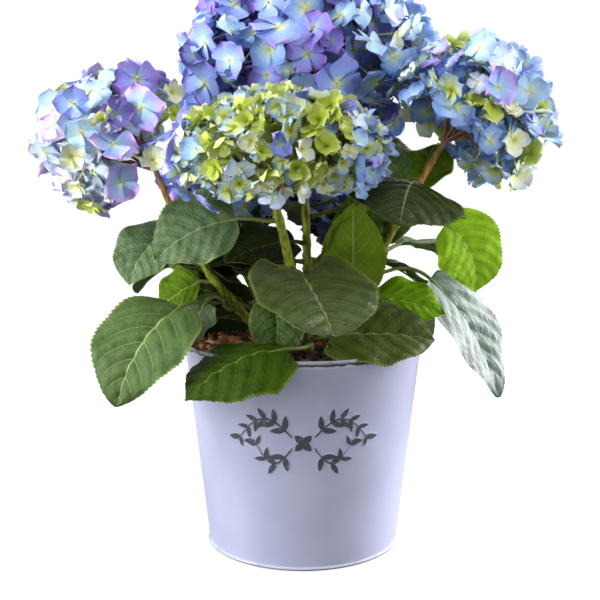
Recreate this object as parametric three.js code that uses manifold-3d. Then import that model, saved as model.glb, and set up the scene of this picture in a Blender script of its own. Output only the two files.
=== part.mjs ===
// A potted mophead hydrangea: a tapered tinplate pot, its compost, canes, leaves and flower heads.
// Millimetres, +Z up. The origin is the middle of the pot's underside, and -Y is the plant's front.
import * as THREE from "three";
import { mergeVertices } from "three/addons/utils/BufferGeometryUtils.js";
import Module from "manifold-3d";

const wasm = await Module();
wasm.setup();

// Driving dimensions of the pot
const POT_HEIGHT = 146;
const RIM_RADIUS = 85; // outside of the rolled rim
const FOOT_RADIUS = 68.5; // outside of the folded seam round the foot
const ROLL = 1.2; // how far the rolled rim and the foot's seam stand proud of the wall
const ROLL_SHOULDER = 0.78; // how far out, and how far from its middle, a roll's rounded shoulders are
const RIM_DEPTH = 3.6; // height of the rolled rim
const SEAM_DEPTH = 2.2; // height of the foot's seam
const TIN = 0.8; // thickness of the wall and the floor
const POT_SIDES = 48;

// Driving dimensions of the compost
const SOIL_BELOW_RIM = 7;
const SOIL_FLAT_RADIUS = 52; // inside this the compost is level, where the canes stand
const SOIL_EDGE_DROP = 4; // it settles this far at the wall
const SOIL_TOP = POT_HEIGHT - SOIL_BELOW_RIM;

// The clear gap between two pieces that meet, and the length under which a joined solid's edges are dropped
const GAP = 0.3;
const SLIVER = 0.05;

// Canes: foot and tip are places above the compost, and lean is the curve's control point between them
const CANE_FOOT_RADIUS = 4.2;
const CANE_TIP_RADIUS = 2.9;
const CANE_SIDES = 6;
const TWIG_SIDES = 3;
const CANE_STEPS = 6;
const CANES = {
  left: { foot: [-18, -2, 0], lean: [-75, -5, 51], tip: [-96, -20, 117] },
  front: { foot: [-4, -12, 0], lean: [-4, -18, 51], tip: [-18, -42, 101] },
  right: { foot: [22, 2, 0], lean: [52, 0, 66], tip: [92, -5, 136] },
  top: { foot: [3, 14, 0], lean: [5, 24, 80], tip: [-3, 56, 160] },
  back_left: { foot: [-14, 20, 0], lean: [-42, 50, 38], tip: [-61, 82, 76] },
  back: { foot: [12, 26, 0], lean: [24, 60, 31], tip: [32, 92, 69] },
  shoot: { foot: [4, -43, 0], lean: [4, -45, 12], tip: [3, -48, 24] },
};

// Flower heads: each is a dome of florets round a smaller core, on the tip of its cane
const CORE_SHARE = 0.66; // the core's radii as a share of the head's
const FLORET_LAYERS = [0.96, 0.84]; // where the florets' eyes sit, in turn, as shares of the head's radius
const FLORET_TILT = 9; // degrees that a floret may lean away from straight out
const FLORET_NOTCH = 0.6; // depth of the notch between two lobes, as a share of the floret's size
const FLORET_CUP = 0.14; // how far a lobe's tip rises, as a share of the floret's size
const EYE_THICKNESS = 0.08; // half of a floret's thickness at its eye, as a share of its size
const STALK_RADIUS = 1.1;
const STALK_AT = 0.42; // where a floret's stalk meets its underside, as a share of its size
const STALK_BEARING = 30; // degrees from a notch to the stalk, which keeps it within one face
const ROOT_DEPTH = 0.85; // how deep in the core a stalk is rooted, as a share of the core's radius
const HEAD_OPENING = 48; // degrees round the stem where no floret grows
const HEAD_RAYS = 4; // branches that fan out from the stem into the core
const RAY_SPREAD = 150; // degrees of the core that they reach
const RAY_DEPTH = 0.6; // how deep in the core they end, as a share of its radius
const RAY_TAPER = [0.6, 0.5]; // their radii, as shares of the stem's
const STEM_LENGTH = 8; // straight part of a head's stem before it forks
const STEM_DEPTH = 0.3; // where the stem ends, as a share of the way from the head's centre to its foot
const HEAD_COLOURS = {
  left: 0xa79ad8,
  front: 0xb9c76a,
  right: 0x7f95d6,
  top: 0x6f86d2,
  back_left: 0x8c93d6,
  back: 0x6d82c8,
};
const HEADS = {
  left: { centre: [-130, -25, 147], radii: [47, 45, 49], florets: 30, size: 18, seed: 11 },
  front: { centre: [-14, -46, 139], radii: [70, 58, 43], florets: 48, size: 15, seed: 23 },
  right: { centre: [116, 0, 163], radii: [53, 50, 53], florets: 33, size: 19, seed: 37 },
  top: { centre: [-4, 60, 213], radii: [87, 72, 62], florets: 52, size: 22, seed: 41 },
  back_left: { centre: [-64, 90, 112], radii: [47, 46, 45], florets: 27, size: 18, seed: 53 },
  back: { centre: [36, 106, 104], radii: [47, 46, 46], florets: 27, size: 18, seed: 67 },
};

// Leaves: a petiole that leaves its cane at right angles and turns to its rise, then a blade that droops
// evenly. share is the place along the cane, heading the compass angle from +X towards +Y, and turn the
// blade's change of heading. fold is how far each half lifts from the midrib, and lobe how far the blade's base
// reaches back beside its petiole, as a share of the blade's length. Angles are degrees.
const PETIOLE_HALF = 1.9;
const BLADE_HALF_THICKNESS = 1.0;
const RIB_TAPER = 0.8; // share of the petiole's width that the rib loses towards the tip
const BLADE_TAPER = 0.5; // share of the blade's thickness that it loses towards the tip
const BLADE_SHARES = [0.05, 0.17, 0.33, 0.5, 0.67, 0.84, 1]; // where a blade has its sections
const BLADE_SIDES = 4; // a section is a lozenge, with the rib across its middle
const PETIOLE_STEPS = 2;
const TURNED_BY = 0.35; // share of the petiole that takes up the turn from the cane to its rise
const WIDEST_AT = 0.42; // share of the blade's length where it is widest
const LEAF_FULLNESS = 1.45; // sum of the outline's two powers: lower is blunter
const LOBE_FADE = 3; // power by which the base's lobes die away towards the tip
const LEAF_DEFAULTS = { rise: 15, turn: 0, roll: 0, fold: 9, lobe: 0 };
const LEAVES = {
  front_centre: {
    cane: "front", share: 0.58, heading: -68, petiole: 18, rise: 12,
    length: 62, width: 86, pitch: -24, droop: 14, lobe: 0.36,
  },
  front_left: {
    cane: "front", share: 0.92, heading: 178, petiole: 26, rise: 12, turn: 12,
    length: 60, width: 56, pitch: -6, droop: 40, roll: -52,
  },
  front_hanging: {
    cane: "front", share: 0.4, heading: -138, petiole: 25, rise: 56, turn: 50,
    length: 31, width: 34, pitch: -58, droop: 18,
  },
  shoot_left: {
    cane: "shoot", share: 0.58, heading: -100, petiole: 28, rise: 13, turn: -54,
    length: 72, width: 88, pitch: 9, droop: 74, roll: -6, fold: -6, lobe: 0.06,
  },
  shoot_right: {
    cane: "shoot", share: 0.6, heading: -22, petiole: 12, rise: 20, turn: 24,
    length: 70, width: 70, pitch: 6, droop: 16, roll: 30,
  },
  left_low: {
    cane: "left", share: 0.34, heading: -124, petiole: 46, rise: 18, turn: -6,
    length: 84, width: 72, pitch: -15, droop: 60, roll: -15,
  },
  left_short: {
    cane: "left", share: 0.26, heading: -141, petiole: 32, rise: 62,
    length: 25, width: 34, pitch: -48, droop: 30,
  },
  left_mid: {
    cane: "left", share: 0.76, heading: -135, petiole: 8,
    length: 50, width: 46, pitch: -20, droop: 50, roll: -25,
  },
  left_shade: {
    cane: "left", share: 0.45, heading: 172, petiole: 8,
    length: 38, width: 42, pitch: -20, droop: 30, roll: -45,
  },
  left_back: {
    cane: "left", share: 0.68, heading: 95, petiole: 16,
    length: 56, width: 56, pitch: -15, droop: 50,
  },
  right_upper: {
    cane: "right", share: 0.8, heading: -88, petiole: 10, rise: 25, turn: -10,
    length: 77, width: 66, pitch: -2, droop: 42,
  },
  right_behind: {
    cane: "right", share: 0.8, heading: 118, petiole: 14, rise: 40,
    length: 62, width: 50, pitch: 42, droop: 20,
  },
  right_side: {
    cane: "right", share: 0.66, heading: 5, petiole: 33, rise: 30,
    length: 56, width: 56, pitch: -35, droop: 60, roll: 70,
  },
  right_glow: {
    cane: "right", share: 0.27, heading: -10, petiole: 9,
    length: 50, width: 42, pitch: 0, droop: 25, roll: 38,
  },
  right_hanging: {
    cane: "right", share: 0.4, heading: 48, petiole: 50, rise: 22, turn: -54,
    length: 100, width: 64, pitch: -42, droop: 35, roll: 35,
  },
  right_back: {
    cane: "right", share: 0.52, heading: 50, petiole: 20,
    length: 84, width: 60, pitch: 5, droop: 45,
  },
  centre_upright: {
    cane: "right", share: 0.26, heading: 85, petiole: 14, rise: 50,
    length: 70, width: 44, pitch: 65, droop: -10,
  },
  top_left: {
    cane: "top", share: 0.3, heading: 185, petiole: 28, rise: 22,
    length: 60, width: 46, pitch: 10, droop: 45, roll: -15,
  },
  top_high_left: {
    cane: "top", share: 0.66, heading: 190, petiole: 26, rise: 20,
    length: 66, width: 48, pitch: 8, droop: 45,
  },
  back_right: {
    cane: "back", share: 0.45, heading: 20, petiole: 26,
    length: 88, width: 64, pitch: -10, droop: 50,
  },
  back_low: {
    cane: "back", share: 0.45, heading: 120, petiole: 26,
    length: 84, width: 62, pitch: -5, droop: 50,
  },
  back_far: {
    cane: "back", share: 0.8, heading: 85, petiole: 12,
    length: 84, width: 64, pitch: -15, droop: 45,
  },
  back_side: {
    cane: "back", share: 0.8, heading: 10, petiole: 20,
    length: 64, width: 56, pitch: -10, droop: 45,
  },
  back_left_side: {
    cane: "back_left", share: 0.42, heading: 190, petiole: 24,
    length: 84, width: 62, pitch: -5, droop: 50,
  },
  back_left_low: {
    cane: "back_left", share: 0.42, heading: 125, petiole: 30,
    length: 84, width: 62, pitch: -10, droop: 50,
  },
  back_left_high: {
    cane: "back_left", share: 0.8, heading: 160, petiole: 14,
    length: 80, width: 60, pitch: -5, droop: 45,
  },
};

const potTin = new THREE.MeshStandardMaterial({ color: 0xc3c8e8, roughness: 0.35, metalness: 0.1 });
const compost = new THREE.MeshStandardMaterial({ color: 0x4a2a1c, roughness: 0.95 });
const caneBark = new THREE.MeshStandardMaterial({ color: 0x6f8a35, roughness: 0.6 });
const leafGreen = new THREE.MeshStandardMaterial({ color: 0x3f6b2c, roughness: 0.45 });

const radians = THREE.MathUtils.degToRad;
const vector = (place) => new THREE.Vector3(...place);

// The same numbers for the same seed, from 0 up to 1
function seededRandom(seed) {
  let state = seed >>> 0;
  return () => {
    state = (state + 0x6d2b79f5) >>> 0;
    let mixed = Math.imul(state ^ (state >>> 15), state | 1);
    mixed ^= mixed + Math.imul(mixed ^ (mixed >>> 7), mixed | 61);
    return ((mixed ^ (mixed >>> 14)) >>> 0) / 4294967296;
  };
}

// A closed geometry as a solid that can be joined to others
function solidOf(geometry) {
  const bare = geometry.clone();
  bare.deleteAttribute("normal");
  bare.deleteAttribute("uv");
  const merged = mergeVertices(bare, 1e-4);
  return new wasm.Manifold(
    new wasm.Mesh({
      numProp: 3,
      vertProperties: merged.getAttribute("position").array,
      triVerts: new Uint32Array(merged.index.array),
    }),
  );
}

// A joined solid's largest body as a geometry: loose scraps and sealed hollows are left out
function geometryOf(solid) {
  const bodies = solid.simplify(SLIVER).decompose();
  const largest = bodies.reduce((best, body) => (body.volume() > best.volume() ? body : best));
  const mesh = largest.getMesh();
  return new THREE.BufferGeometry()
    .setAttribute("position", new THREE.BufferAttribute(mesh.vertProperties, 3))
    .setIndex(new THREE.BufferAttribute(mesh.triVerts, 1));
}

// A named mesh
function piece(name, geometry, material) {
  const mesh = new THREE.Mesh(geometry, material);
  mesh.name = name;
  return mesh;
}

// A body of revolution about Z, from a profile of [radius, height] that starts and ends on the axis
function turned(profile, sides) {
  const points = profile.map(([radius, height]) => new THREE.Vector2(radius, height));
  return new THREE.LatheGeometry(points, sides).rotateX(Math.PI / 2);
}

// A closed tube of so many steps: a cylinder whose own vertices are moved by place(step, x, z), where x and z
// lie on the unit circle, or are both 0 in the middle of an end
function shapedTube(sides, steps, place) {
  const tube = new THREE.CylinderGeometry(1, 1, 1, sides, steps);
  const position = tube.getAttribute("position");
  for (let i = 0; i < position.count; i++) {
    const step = Math.round((0.5 + position.getY(i)) * steps);
    position.setXYZ(i, ...place(step, position.getX(i), position.getZ(i)));
  }
  return tube;
}

// A straight limb between two points that tapers from one radius to another
function limb(from, to, fromRadius, toRadius, sides) {
  const along = to.clone().sub(from);
  const ownAxis = new THREE.Vector3(0, 1, 0);
  const turn = new THREE.Quaternion().setFromUnitVectors(ownAxis, along.clone().normalize());
  return new THREE.CylinderGeometry(toRadius, fromRadius, along.length(), sides)
    .applyQuaternion(turn)
    .translate(...from.clone().addScaledVector(along, 0.5));
}

// The pot's wall leans out from the seam to the rim
const wallRadius = (height) =>
  THREE.MathUtils.lerp(FOOT_RADIUS, RIM_RADIUS, height / POT_HEIGHT) - ROLL;

// The rounded outside of a roll, as three points: near its foot, at its middle and near its top
const rollProfile = (height, depth) =>
  [-1, 0, 1].map((step) => [
    wallRadius(height) + ROLL * (step === 0 ? 1 : ROLL_SHOULDER),
    height + (depth / 2) * (1 + step * ROLL_SHOULDER),
  ]);

function potGeometry() {
  const rimFoot = POT_HEIGHT - RIM_DEPTH;
  return turned(
    [
      [0, 0],
      [wallRadius(0) + ROLL / 2, 0],
      ...rollProfile(0, SEAM_DEPTH),
      [wallRadius(SEAM_DEPTH), SEAM_DEPTH],
      [wallRadius(rimFoot), rimFoot],
      ...rollProfile(rimFoot, RIM_DEPTH),
      [wallRadius(POT_HEIGHT), POT_HEIGHT],
      [wallRadius(POT_HEIGHT) - TIN, POT_HEIGHT - TIN],
      [wallRadius(TIN) - TIN, TIN],
      [0, TIN],
    ],
    POT_SIDES,
  );
}

function soilGeometry() {
  const bottom = TIN + GAP;
  const edge = SOIL_TOP - SOIL_EDGE_DROP;
  const clearOfWall = (height) => wallRadius(height) - TIN - GAP;
  return turned(
    [
      [0, bottom],
      [clearOfWall(bottom), bottom],
      [clearOfWall(edge), edge],
      [SOIL_FLAT_RADIUS, SOIL_TOP],
      [0, SOIL_TOP],
    ],
    POT_SIDES,
  );
}

// A cane's middle line above the compost, and its radius at a share of the way up
function caneLine({ foot, lean, tip }) {
  const standing = vector(foot).setZ(GAP);
  return new THREE.QuadraticBezierCurve3(standing, vector(lean), vector(tip));
}
const caneRadius = (share) => THREE.MathUtils.lerp(CANE_FOOT_RADIUS, CANE_TIP_RADIUS, share);

function caneGeometry(cane) {
  const line = caneLine(cane);
  return shapedTube(CANE_SIDES, CANE_STEPS, (step, x, z) => {
    const share = step / CANE_STEPS;
    const centre = line.getPoint(share);
    // The foot is cut level, and the rest is cut square to the line
    const along = step === 0 ? new THREE.Vector3(0, 0, 1) : line.getTangent(share);
    const side = new THREE.Vector3().crossVectors(along, new THREE.Vector3(0, 1, 0)).normalize();
    const back = new THREE.Vector3().crossVectors(side, along);
    const radius = caneRadius(share);
    return centre.addScaledVector(side, x * radius).addScaledVector(back, z * radius);
  });
}

// A floret: four broad lobes, cupped towards their tips, round an eye at the origin that faces +Z
function floretGeometry(size) {
  const LOBES = 4;
  const POINTS_A_LOBE = 2;
  const floret = new THREE.SphereGeometry(1, LOBES * POINTS_A_LOBE, 2).rotateX(Math.PI / 2);
  const position = floret.getAttribute("position");
  for (let i = 0; i < position.count; i++) {
    const [x, y, z] = [position.getX(i), position.getY(i), position.getZ(i)];
    const onEdge = Math.hypot(x, y) > 0.5;
    if (!onEdge) {
      position.setXYZ(i, 0, 0, Math.sign(z) * size * EYE_THICKNESS);
      continue;
    }
    const point = Math.round((Math.atan2(y, x) / (2 * Math.PI)) * LOBES * POINTS_A_LOBE);
    const isNotch = ((point % POINTS_A_LOBE) + POINTS_A_LOBE) % POINTS_A_LOBE === 0;
    const reach = size * (isNotch ? FLORET_NOTCH : 1);
    position.setXYZ(i, x * reach, y * reach, isNotch ? 0 : size * FLORET_CUP);
  }
  return floret;
}

// Directions spread evenly over a dome about an axis, from its pole to openFrom degrees
function domeDirections(count, axis, openFrom) {
  const GOLDEN_ANGLE = Math.PI * (3 - Math.sqrt(5));
  const turn = new THREE.Quaternion().setFromUnitVectors(new THREE.Vector3(0, 0, 1), axis);
  const lowest = Math.cos(radians(openFrom));
  return Array.from({ length: count }, (_, i) => {
    const height = 1 - ((i + 0.5) / count) * (1 - lowest);
    const radius = Math.sqrt(1 - height * height);
    const angle = i * GOLDEN_ANGLE;
    const direction = new THREE.Vector3(radius * Math.cos(angle), radius * Math.sin(angle), height);
    return direction.applyQuaternion(turn);
  });
}

// A flower head about its own centre, on a stem that starts clear of its cane's tip
function headGeometry({ centre, radii, florets, size, seed }, cane) {
  const random = seededRandom(seed);
  const bearing = radians(STALK_BEARING);
  const line = caneLine(cane);
  const along = line.getTangent(1);
  const stemFoot = line.getPoint(1).addScaledVector(along, GAP).sub(vector(centre));
  const outward = stemFoot.clone().normalize().negate();
  const reach = vector(radii);
  const core = new THREE.IcosahedronGeometry(1, 1).scale(...reach.clone().multiplyScalar(CORE_SHARE));
  const solids = [solidOf(core)];
  const fork = stemFoot.clone().addScaledVector(along, STEM_LENGTH);
  solids.push(solidOf(limb(stemFoot, fork, CANE_TIP_RADIUS, CANE_TIP_RADIUS, CANE_SIDES)));
  const stemEnd = stemFoot.clone().multiplyScalar(STEM_DEPTH);
  solids.push(solidOf(limb(fork, stemEnd, CANE_TIP_RADIUS, CANE_TIP_RADIUS, CANE_SIDES)));
  const [rayFoot, rayTip] = RAY_TAPER.map((share) => share * CANE_TIP_RADIUS);
  for (const direction of domeDirections(HEAD_RAYS, outward, RAY_SPREAD)) {
    const end = direction.clone().multiply(reach).multiplyScalar(CORE_SHARE * RAY_DEPTH);
    solids.push(solidOf(limb(fork, end, rayFoot, rayTip, TWIG_SIDES)));
  }
  domeDirections(florets, outward, 180 - HEAD_OPENING).forEach((direction, i) => {
    const depth = FLORET_LAYERS[i % FLORET_LAYERS.length];
    const eye = direction.clone().multiply(reach).multiplyScalar(depth);
    const facing = direction.clone().divide(reach).normalize();
    const lean = new THREE.Euler(
      radians((random() * 2 - 1) * FLORET_TILT),
      radians((random() * 2 - 1) * FLORET_TILT),
      random() * Math.PI,
    );
    const turn = new THREE.Quaternion()
      .setFromUnitVectors(new THREE.Vector3(0, 0, 1), facing)
      .multiply(new THREE.Quaternion().setFromEuler(lean));
    const underLobe = new THREE.Vector3(Math.cos(bearing), Math.sin(bearing), FLORET_CUP)
      .multiplyScalar(size * STALK_AT)
      .applyQuaternion(turn)
      .add(eye);
    const root = underLobe.clone().multiplyScalar((CORE_SHARE * ROOT_DEPTH) / depth);
    solids.push(solidOf(floretGeometry(size).applyQuaternion(turn).translate(...eye)));
    solids.push(solidOf(limb(root, underLobe, STALK_RADIUS, STALK_RADIUS, TWIG_SIDES)));
  });
  return geometryOf(solids.reduce((joined, solid) => joined.add(solid)));
}

// A blade's half width at a share of its length, as a share of the widest: rounded below, drawn out above
function bladeOutline(share) {
  const low = WIDEST_AT * LEAF_FULLNESS;
  const high = (1 - WIDEST_AT) * LEAF_FULLNESS;
  const most = WIDEST_AT ** low * (1 - WIDEST_AT) ** high;
  return (share ** low * (1 - share) ** high) / most;
}

// A leaf's middle line by the distance from its cane: the point, the way along the line, and the blade's
// side and up there
function leafLine(leaf) {
  const STEPS = 60;
  const line = caneLine(CANES[leaf.cane]);
  const tangent = line.getTangent(leaf.share);
  const heading = radians(leaf.heading);
  const outward = new THREE.Vector3(Math.cos(heading), Math.sin(heading), 0);
  outward.addScaledVector(tangent, -outward.dot(tangent)).normalize();
  const leaving = THREE.MathUtils.radToDeg(Math.asin(outward.z));
  const pitchAt = (distance) => {
    const onPetiole = Math.min(distance / leaf.petiole, 1);
    const onBlade = Math.max((distance - leaf.petiole) / leaf.length, 0);
    const start = THREE.MathUtils.lerp(leaving, leaf.rise, Math.min(onPetiole / TURNED_BY, 1));
    const late = Math.max((onPetiole - TURNED_BY) / (1 - TURNED_BY), 0);
    return THREE.MathUtils.lerp(start, leaf.pitch, late) - leaf.droop * onBlade;
  };
  const headingAt = (distance) => leaf.heading + leaf.turn * Math.min(distance / leaf.petiole, 1);
  const directionAt = (distance) => {
    const pitch = radians(pitchAt(distance));
    const bearing = radians(headingAt(distance));
    return new THREE.Vector3(
      Math.cos(pitch) * Math.cos(bearing),
      Math.cos(pitch) * Math.sin(bearing),
      Math.sin(pitch),
    );
  };
  const start = line.getPoint(leaf.share).addScaledVector(outward, caneRadius(leaf.share) + GAP);
  return (distance) => {
    const point = start.clone();
    const stride = distance / STEPS;
    for (let i = 0; i < STEPS; i++) {
      point.addScaledVector(directionAt((i + 0.5) * stride), stride);
    }
    const along = distance === 0 ? outward : directionAt(distance);
    const bearing = radians(headingAt(distance));
    const roll = radians(leaf.roll) * Math.min(distance / leaf.petiole, 1);
    const side = new THREE.Vector3(Math.sin(bearing), -Math.cos(bearing), 0).applyAxisAngle(along, roll);
    return { point, along, side, up: new THREE.Vector3().crossVectors(side, along) };
  };
}

function leafGeometry(leaf) {
  const lineAt = leafLine(leaf);
  const stations = [
    ...Array.from({ length: PETIOLE_STEPS + 1 }, (_, i) => ({
      distance: (leaf.petiole * i) / PETIOLE_STEPS,
      blade: 0,
    })),
    ...BLADE_SHARES.map((blade) => ({ distance: leaf.petiole + blade * leaf.length, blade })),
  ];
  const fold = radians(leaf.fold);
  return shapedTube(BLADE_SIDES, stations.length - 1, (step, x, z) => {
    const { distance, blade } = stations[step];
    const { point, along, side, up } = lineAt(distance);
    const stalk = PETIOLE_HALF * (1 - RIB_TAPER * blade);
    const half = Math.max(stalk, (bladeOutline(blade) * leaf.width) / 2);
    const rib = Math.max(BLADE_HALF_THICKNESS, stalk) * (1 - BLADE_TAPER * blade);
    const thick = blade === 0 ? PETIOLE_HALF : rib;
    const lift = blade === 0 ? 0 : Math.abs(x) * half * Math.sin(fold);
    const back = blade === 0 ? 0 : Math.abs(x) * leaf.lobe * leaf.length * (1 - blade) ** LOBE_FADE;
    return point
      .addScaledVector(along, -back)
      .addScaledVector(side, x * half * Math.cos(fold))
      .addScaledVector(up, z * thick + lift);
  });
}

const plant = new THREE.Group();
plant.position.z = SOIL_TOP;
for (const [name, cane] of Object.entries(CANES)) {
  plant.add(piece(`cane_${name}`, caneGeometry(cane), caneBark));
}
for (const [name, head] of Object.entries(HEADS)) {
  const sepals = new THREE.MeshStandardMaterial({ color: HEAD_COLOURS[name], roughness: 0.6 });
  const mesh = piece(`head_${name}`, headGeometry(head, CANES[name]), sepals);
  mesh.position.set(...head.centre);
  plant.add(mesh);
}
for (const [name, sizes] of Object.entries(LEAVES)) {
  plant.add(piece(`leaf_${name}`, leafGeometry({ ...LEAF_DEFAULTS, ...sizes }), leafGreen));
}

const hydrangea = new THREE.Group();
hydrangea.add(piece("pot", potGeometry(), potTin));
hydrangea.add(piece("soil", soilGeometry(), compost));
hydrangea.add(plant);

export default hydrangea;
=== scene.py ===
# %% [markdown]
# # A potted hydrangea
#
# The plant stands in a tapered tin pot. Six flowering canes and one young shoot come out of the compost,
# carry twenty-six leaves, and end in round heads of florets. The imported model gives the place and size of
# every cane, leaf and head. This lesson grows the fine plant on that frame, with the same rules carried to
# finer detail.

# %% Load the frame
import math
import random
from collections import namedtuple

import bmesh
import bpy
import numpy as np
from mathutils import Matrix, Quaternion, Vector, noise


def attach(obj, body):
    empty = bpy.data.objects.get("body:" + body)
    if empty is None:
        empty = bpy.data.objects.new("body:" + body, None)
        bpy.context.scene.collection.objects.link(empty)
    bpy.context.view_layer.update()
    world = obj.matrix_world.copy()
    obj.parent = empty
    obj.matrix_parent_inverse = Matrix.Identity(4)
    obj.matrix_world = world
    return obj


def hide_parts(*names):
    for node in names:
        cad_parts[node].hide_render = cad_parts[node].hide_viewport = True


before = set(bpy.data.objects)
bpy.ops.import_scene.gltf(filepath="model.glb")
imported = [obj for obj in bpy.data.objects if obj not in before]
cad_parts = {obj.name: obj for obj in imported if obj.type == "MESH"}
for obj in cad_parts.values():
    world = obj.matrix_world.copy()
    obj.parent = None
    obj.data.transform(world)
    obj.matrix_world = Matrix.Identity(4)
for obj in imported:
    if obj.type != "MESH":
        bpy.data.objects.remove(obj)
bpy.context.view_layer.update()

scene = bpy.context.scene

# %% [markdown]
# ## Camera
#
# The photograph was taken a little above the flowers, looking slightly down. The camera could be placed by
# eye, but the ellipse of the pot's rim and foot fixes its height, dip and distance, so those three are
# written down. A photo pixel can then be turned into a line of sight, which later puts single florets where
# they were seen.

# %% Camera
MM = 0.001
PHOTO_SIDE = 600
FOCAL_PIXELS = 1048.5
SENSOR_WIDTH = 36.0
CAMERA_AT = Vector((-2.1, -730.0, 287.0))
CAMERA_DIP = math.radians(8.94)

camera = bpy.data.objects.new("camera", bpy.data.cameras.new("camera"))
scene.collection.objects.link(camera)
camera.location = CAMERA_AT * MM
camera.rotation_euler = (math.pi / 2 - CAMERA_DIP, 0.0, 0.0)
camera.data.sensor_width = SENSOR_WIDTH
camera.data.lens = SENSOR_WIDTH * FOCAL_PIXELS / PHOTO_SIDE
scene.camera = camera
camera_turn = camera.rotation_euler.to_matrix()


def sight_line(pixel_x, pixel_y):
    """Direction from the camera through a pixel of the photograph."""
    middle = PHOTO_SIDE / 2
    ray = Vector((pixel_x - middle, middle - pixel_y, -FOCAL_PIXELS))
    return (camera_turn @ ray).normalized()


print("lens in millimetres", round(camera.data.lens, 1))

# %% [markdown]
# ## Studio
#
# The object stands on white, lit from both sides, so that the pot is bright at its edges and dim in front.
# A bright box all round would flatten it. Instead a dim white world fills the shadows, a very soft sun from
# above whitens the floor evenly, and large panels, one at each side and a weak one behind, draw the
# highlights. Two narrow spots lift the shaded sides of the outer heads, which were bright in the
# photograph.

# %% Studio
FLOOR_HALF = 6.0
WORLD_FILL = 0.7
WORLD_SEEN = 1.0
WHITE = (1.0, 1.0, 1.0, 1.0)
AIM = Vector((0.0, 0.0, 0.22))
LEFT_HEAD_AIM = Vector((-0.132, -0.025, 0.275))
RIGHT_HEAD_AIM = Vector((0.122, 0.0, 0.29))
SUN_SPREAD = math.radians(75)
PANEL = {"shape": "RECTANGLE", "size": 0.8, "size_y": 1.1}
SNOOT = {"spot_size": math.radians(10), "spot_blend": 0.7, "shadow_soft_size": 0.12}


def add_light(name, kind, at, energy, aim=AIM, **settings):
    """A lamp at a place, in metres, that points to the middle of the plant or to another aim."""
    lamp = bpy.data.lights.new(name, kind)
    lamp.energy = energy
    for key, value in settings.items():
        setattr(lamp, key, value)
    holder = bpy.data.objects.new(name, lamp)
    holder.location = at
    holder.rotation_euler = (aim - Vector(at)).to_track_quat("-Z", "Y").to_euler()
    scene.collection.objects.link(holder)


add_light("soft_sun", "SUN", (-0.5, 0.1, 1.6), 1.9, angle=SUN_SPREAD)
add_light("left_panel", "AREA", (-1.2, -0.36, 0.5), 18.0, **PANEL)
add_light("right_panel", "AREA", (1.17, 0.43, 0.45), 34.0, **PANEL)
add_light("back_panel", "AREA", (0.25, 1.15, 0.9), 7.0, **PANEL)
add_light("left_head_spot", "SPOT", (-0.72, -0.66, 0.12), 90.0, LEFT_HEAD_AIM, **SNOOT)
add_light("right_head_spot", "SPOT", (0.72, -0.66, 0.12), 42.0, RIGHT_HEAD_AIM, **SNOOT)

world = bpy.data.worlds.new("white_studio")
world.use_nodes = True
scene.world = world
world_nodes = world.node_tree.nodes
world_links = world.node_tree.links
fill_light = world_nodes["Background"]
seen_white = world_nodes.new("ShaderNodeBackground")
for backdrop, strength in ((fill_light, WORLD_FILL), (seen_white, WORLD_SEEN)):
    backdrop.inputs["Color"].default_value = WHITE
    backdrop.inputs["Strength"].default_value = strength
by_ray = world_nodes.new("ShaderNodeMixShader")
ray_kind = world_nodes.new("ShaderNodeLightPath")
world_links.new(ray_kind.outputs["Is Camera Ray"], by_ray.inputs[0])
world_links.new(fill_light.outputs[0], by_ray.inputs[1])
world_links.new(seen_white.outputs[0], by_ray.inputs[2])
world_links.new(by_ray.outputs[0], world_nodes["World Output"].inputs["Surface"])

scene.view_settings.view_transform = "Standard"
scene.view_settings.look = "None"
print("lights", [thing.name for thing in scene.objects if thing.type == "LIGHT"])

# %% [markdown]
# ## Finishes and pieces
#
# Each finish is a Principled shader with a few nodes that give it its pattern. A small class keeps the node
# code short: every call adds one node and returns its output. Sizes in this script are in millimetres, as
# in the construction, and a mesh is scaled to metres once, when it becomes a piece that rides on the
# plant's body.

# %% Helpers for finishes and pieces
UV_NAME = "OFBake"
PLAIN_SHINE = 0.5


def paint(code):
    """A colour written as it looks on a screen, as the linear values that a shader takes."""
    shares = [int(code[at:at + 2], 16) / 255 for at in (0, 2, 4)]
    return (*[s / 12.92 if s < 0.04045 else ((s + 0.055) / 1.055) ** 2.4 for s in shares], 1.0)


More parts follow.
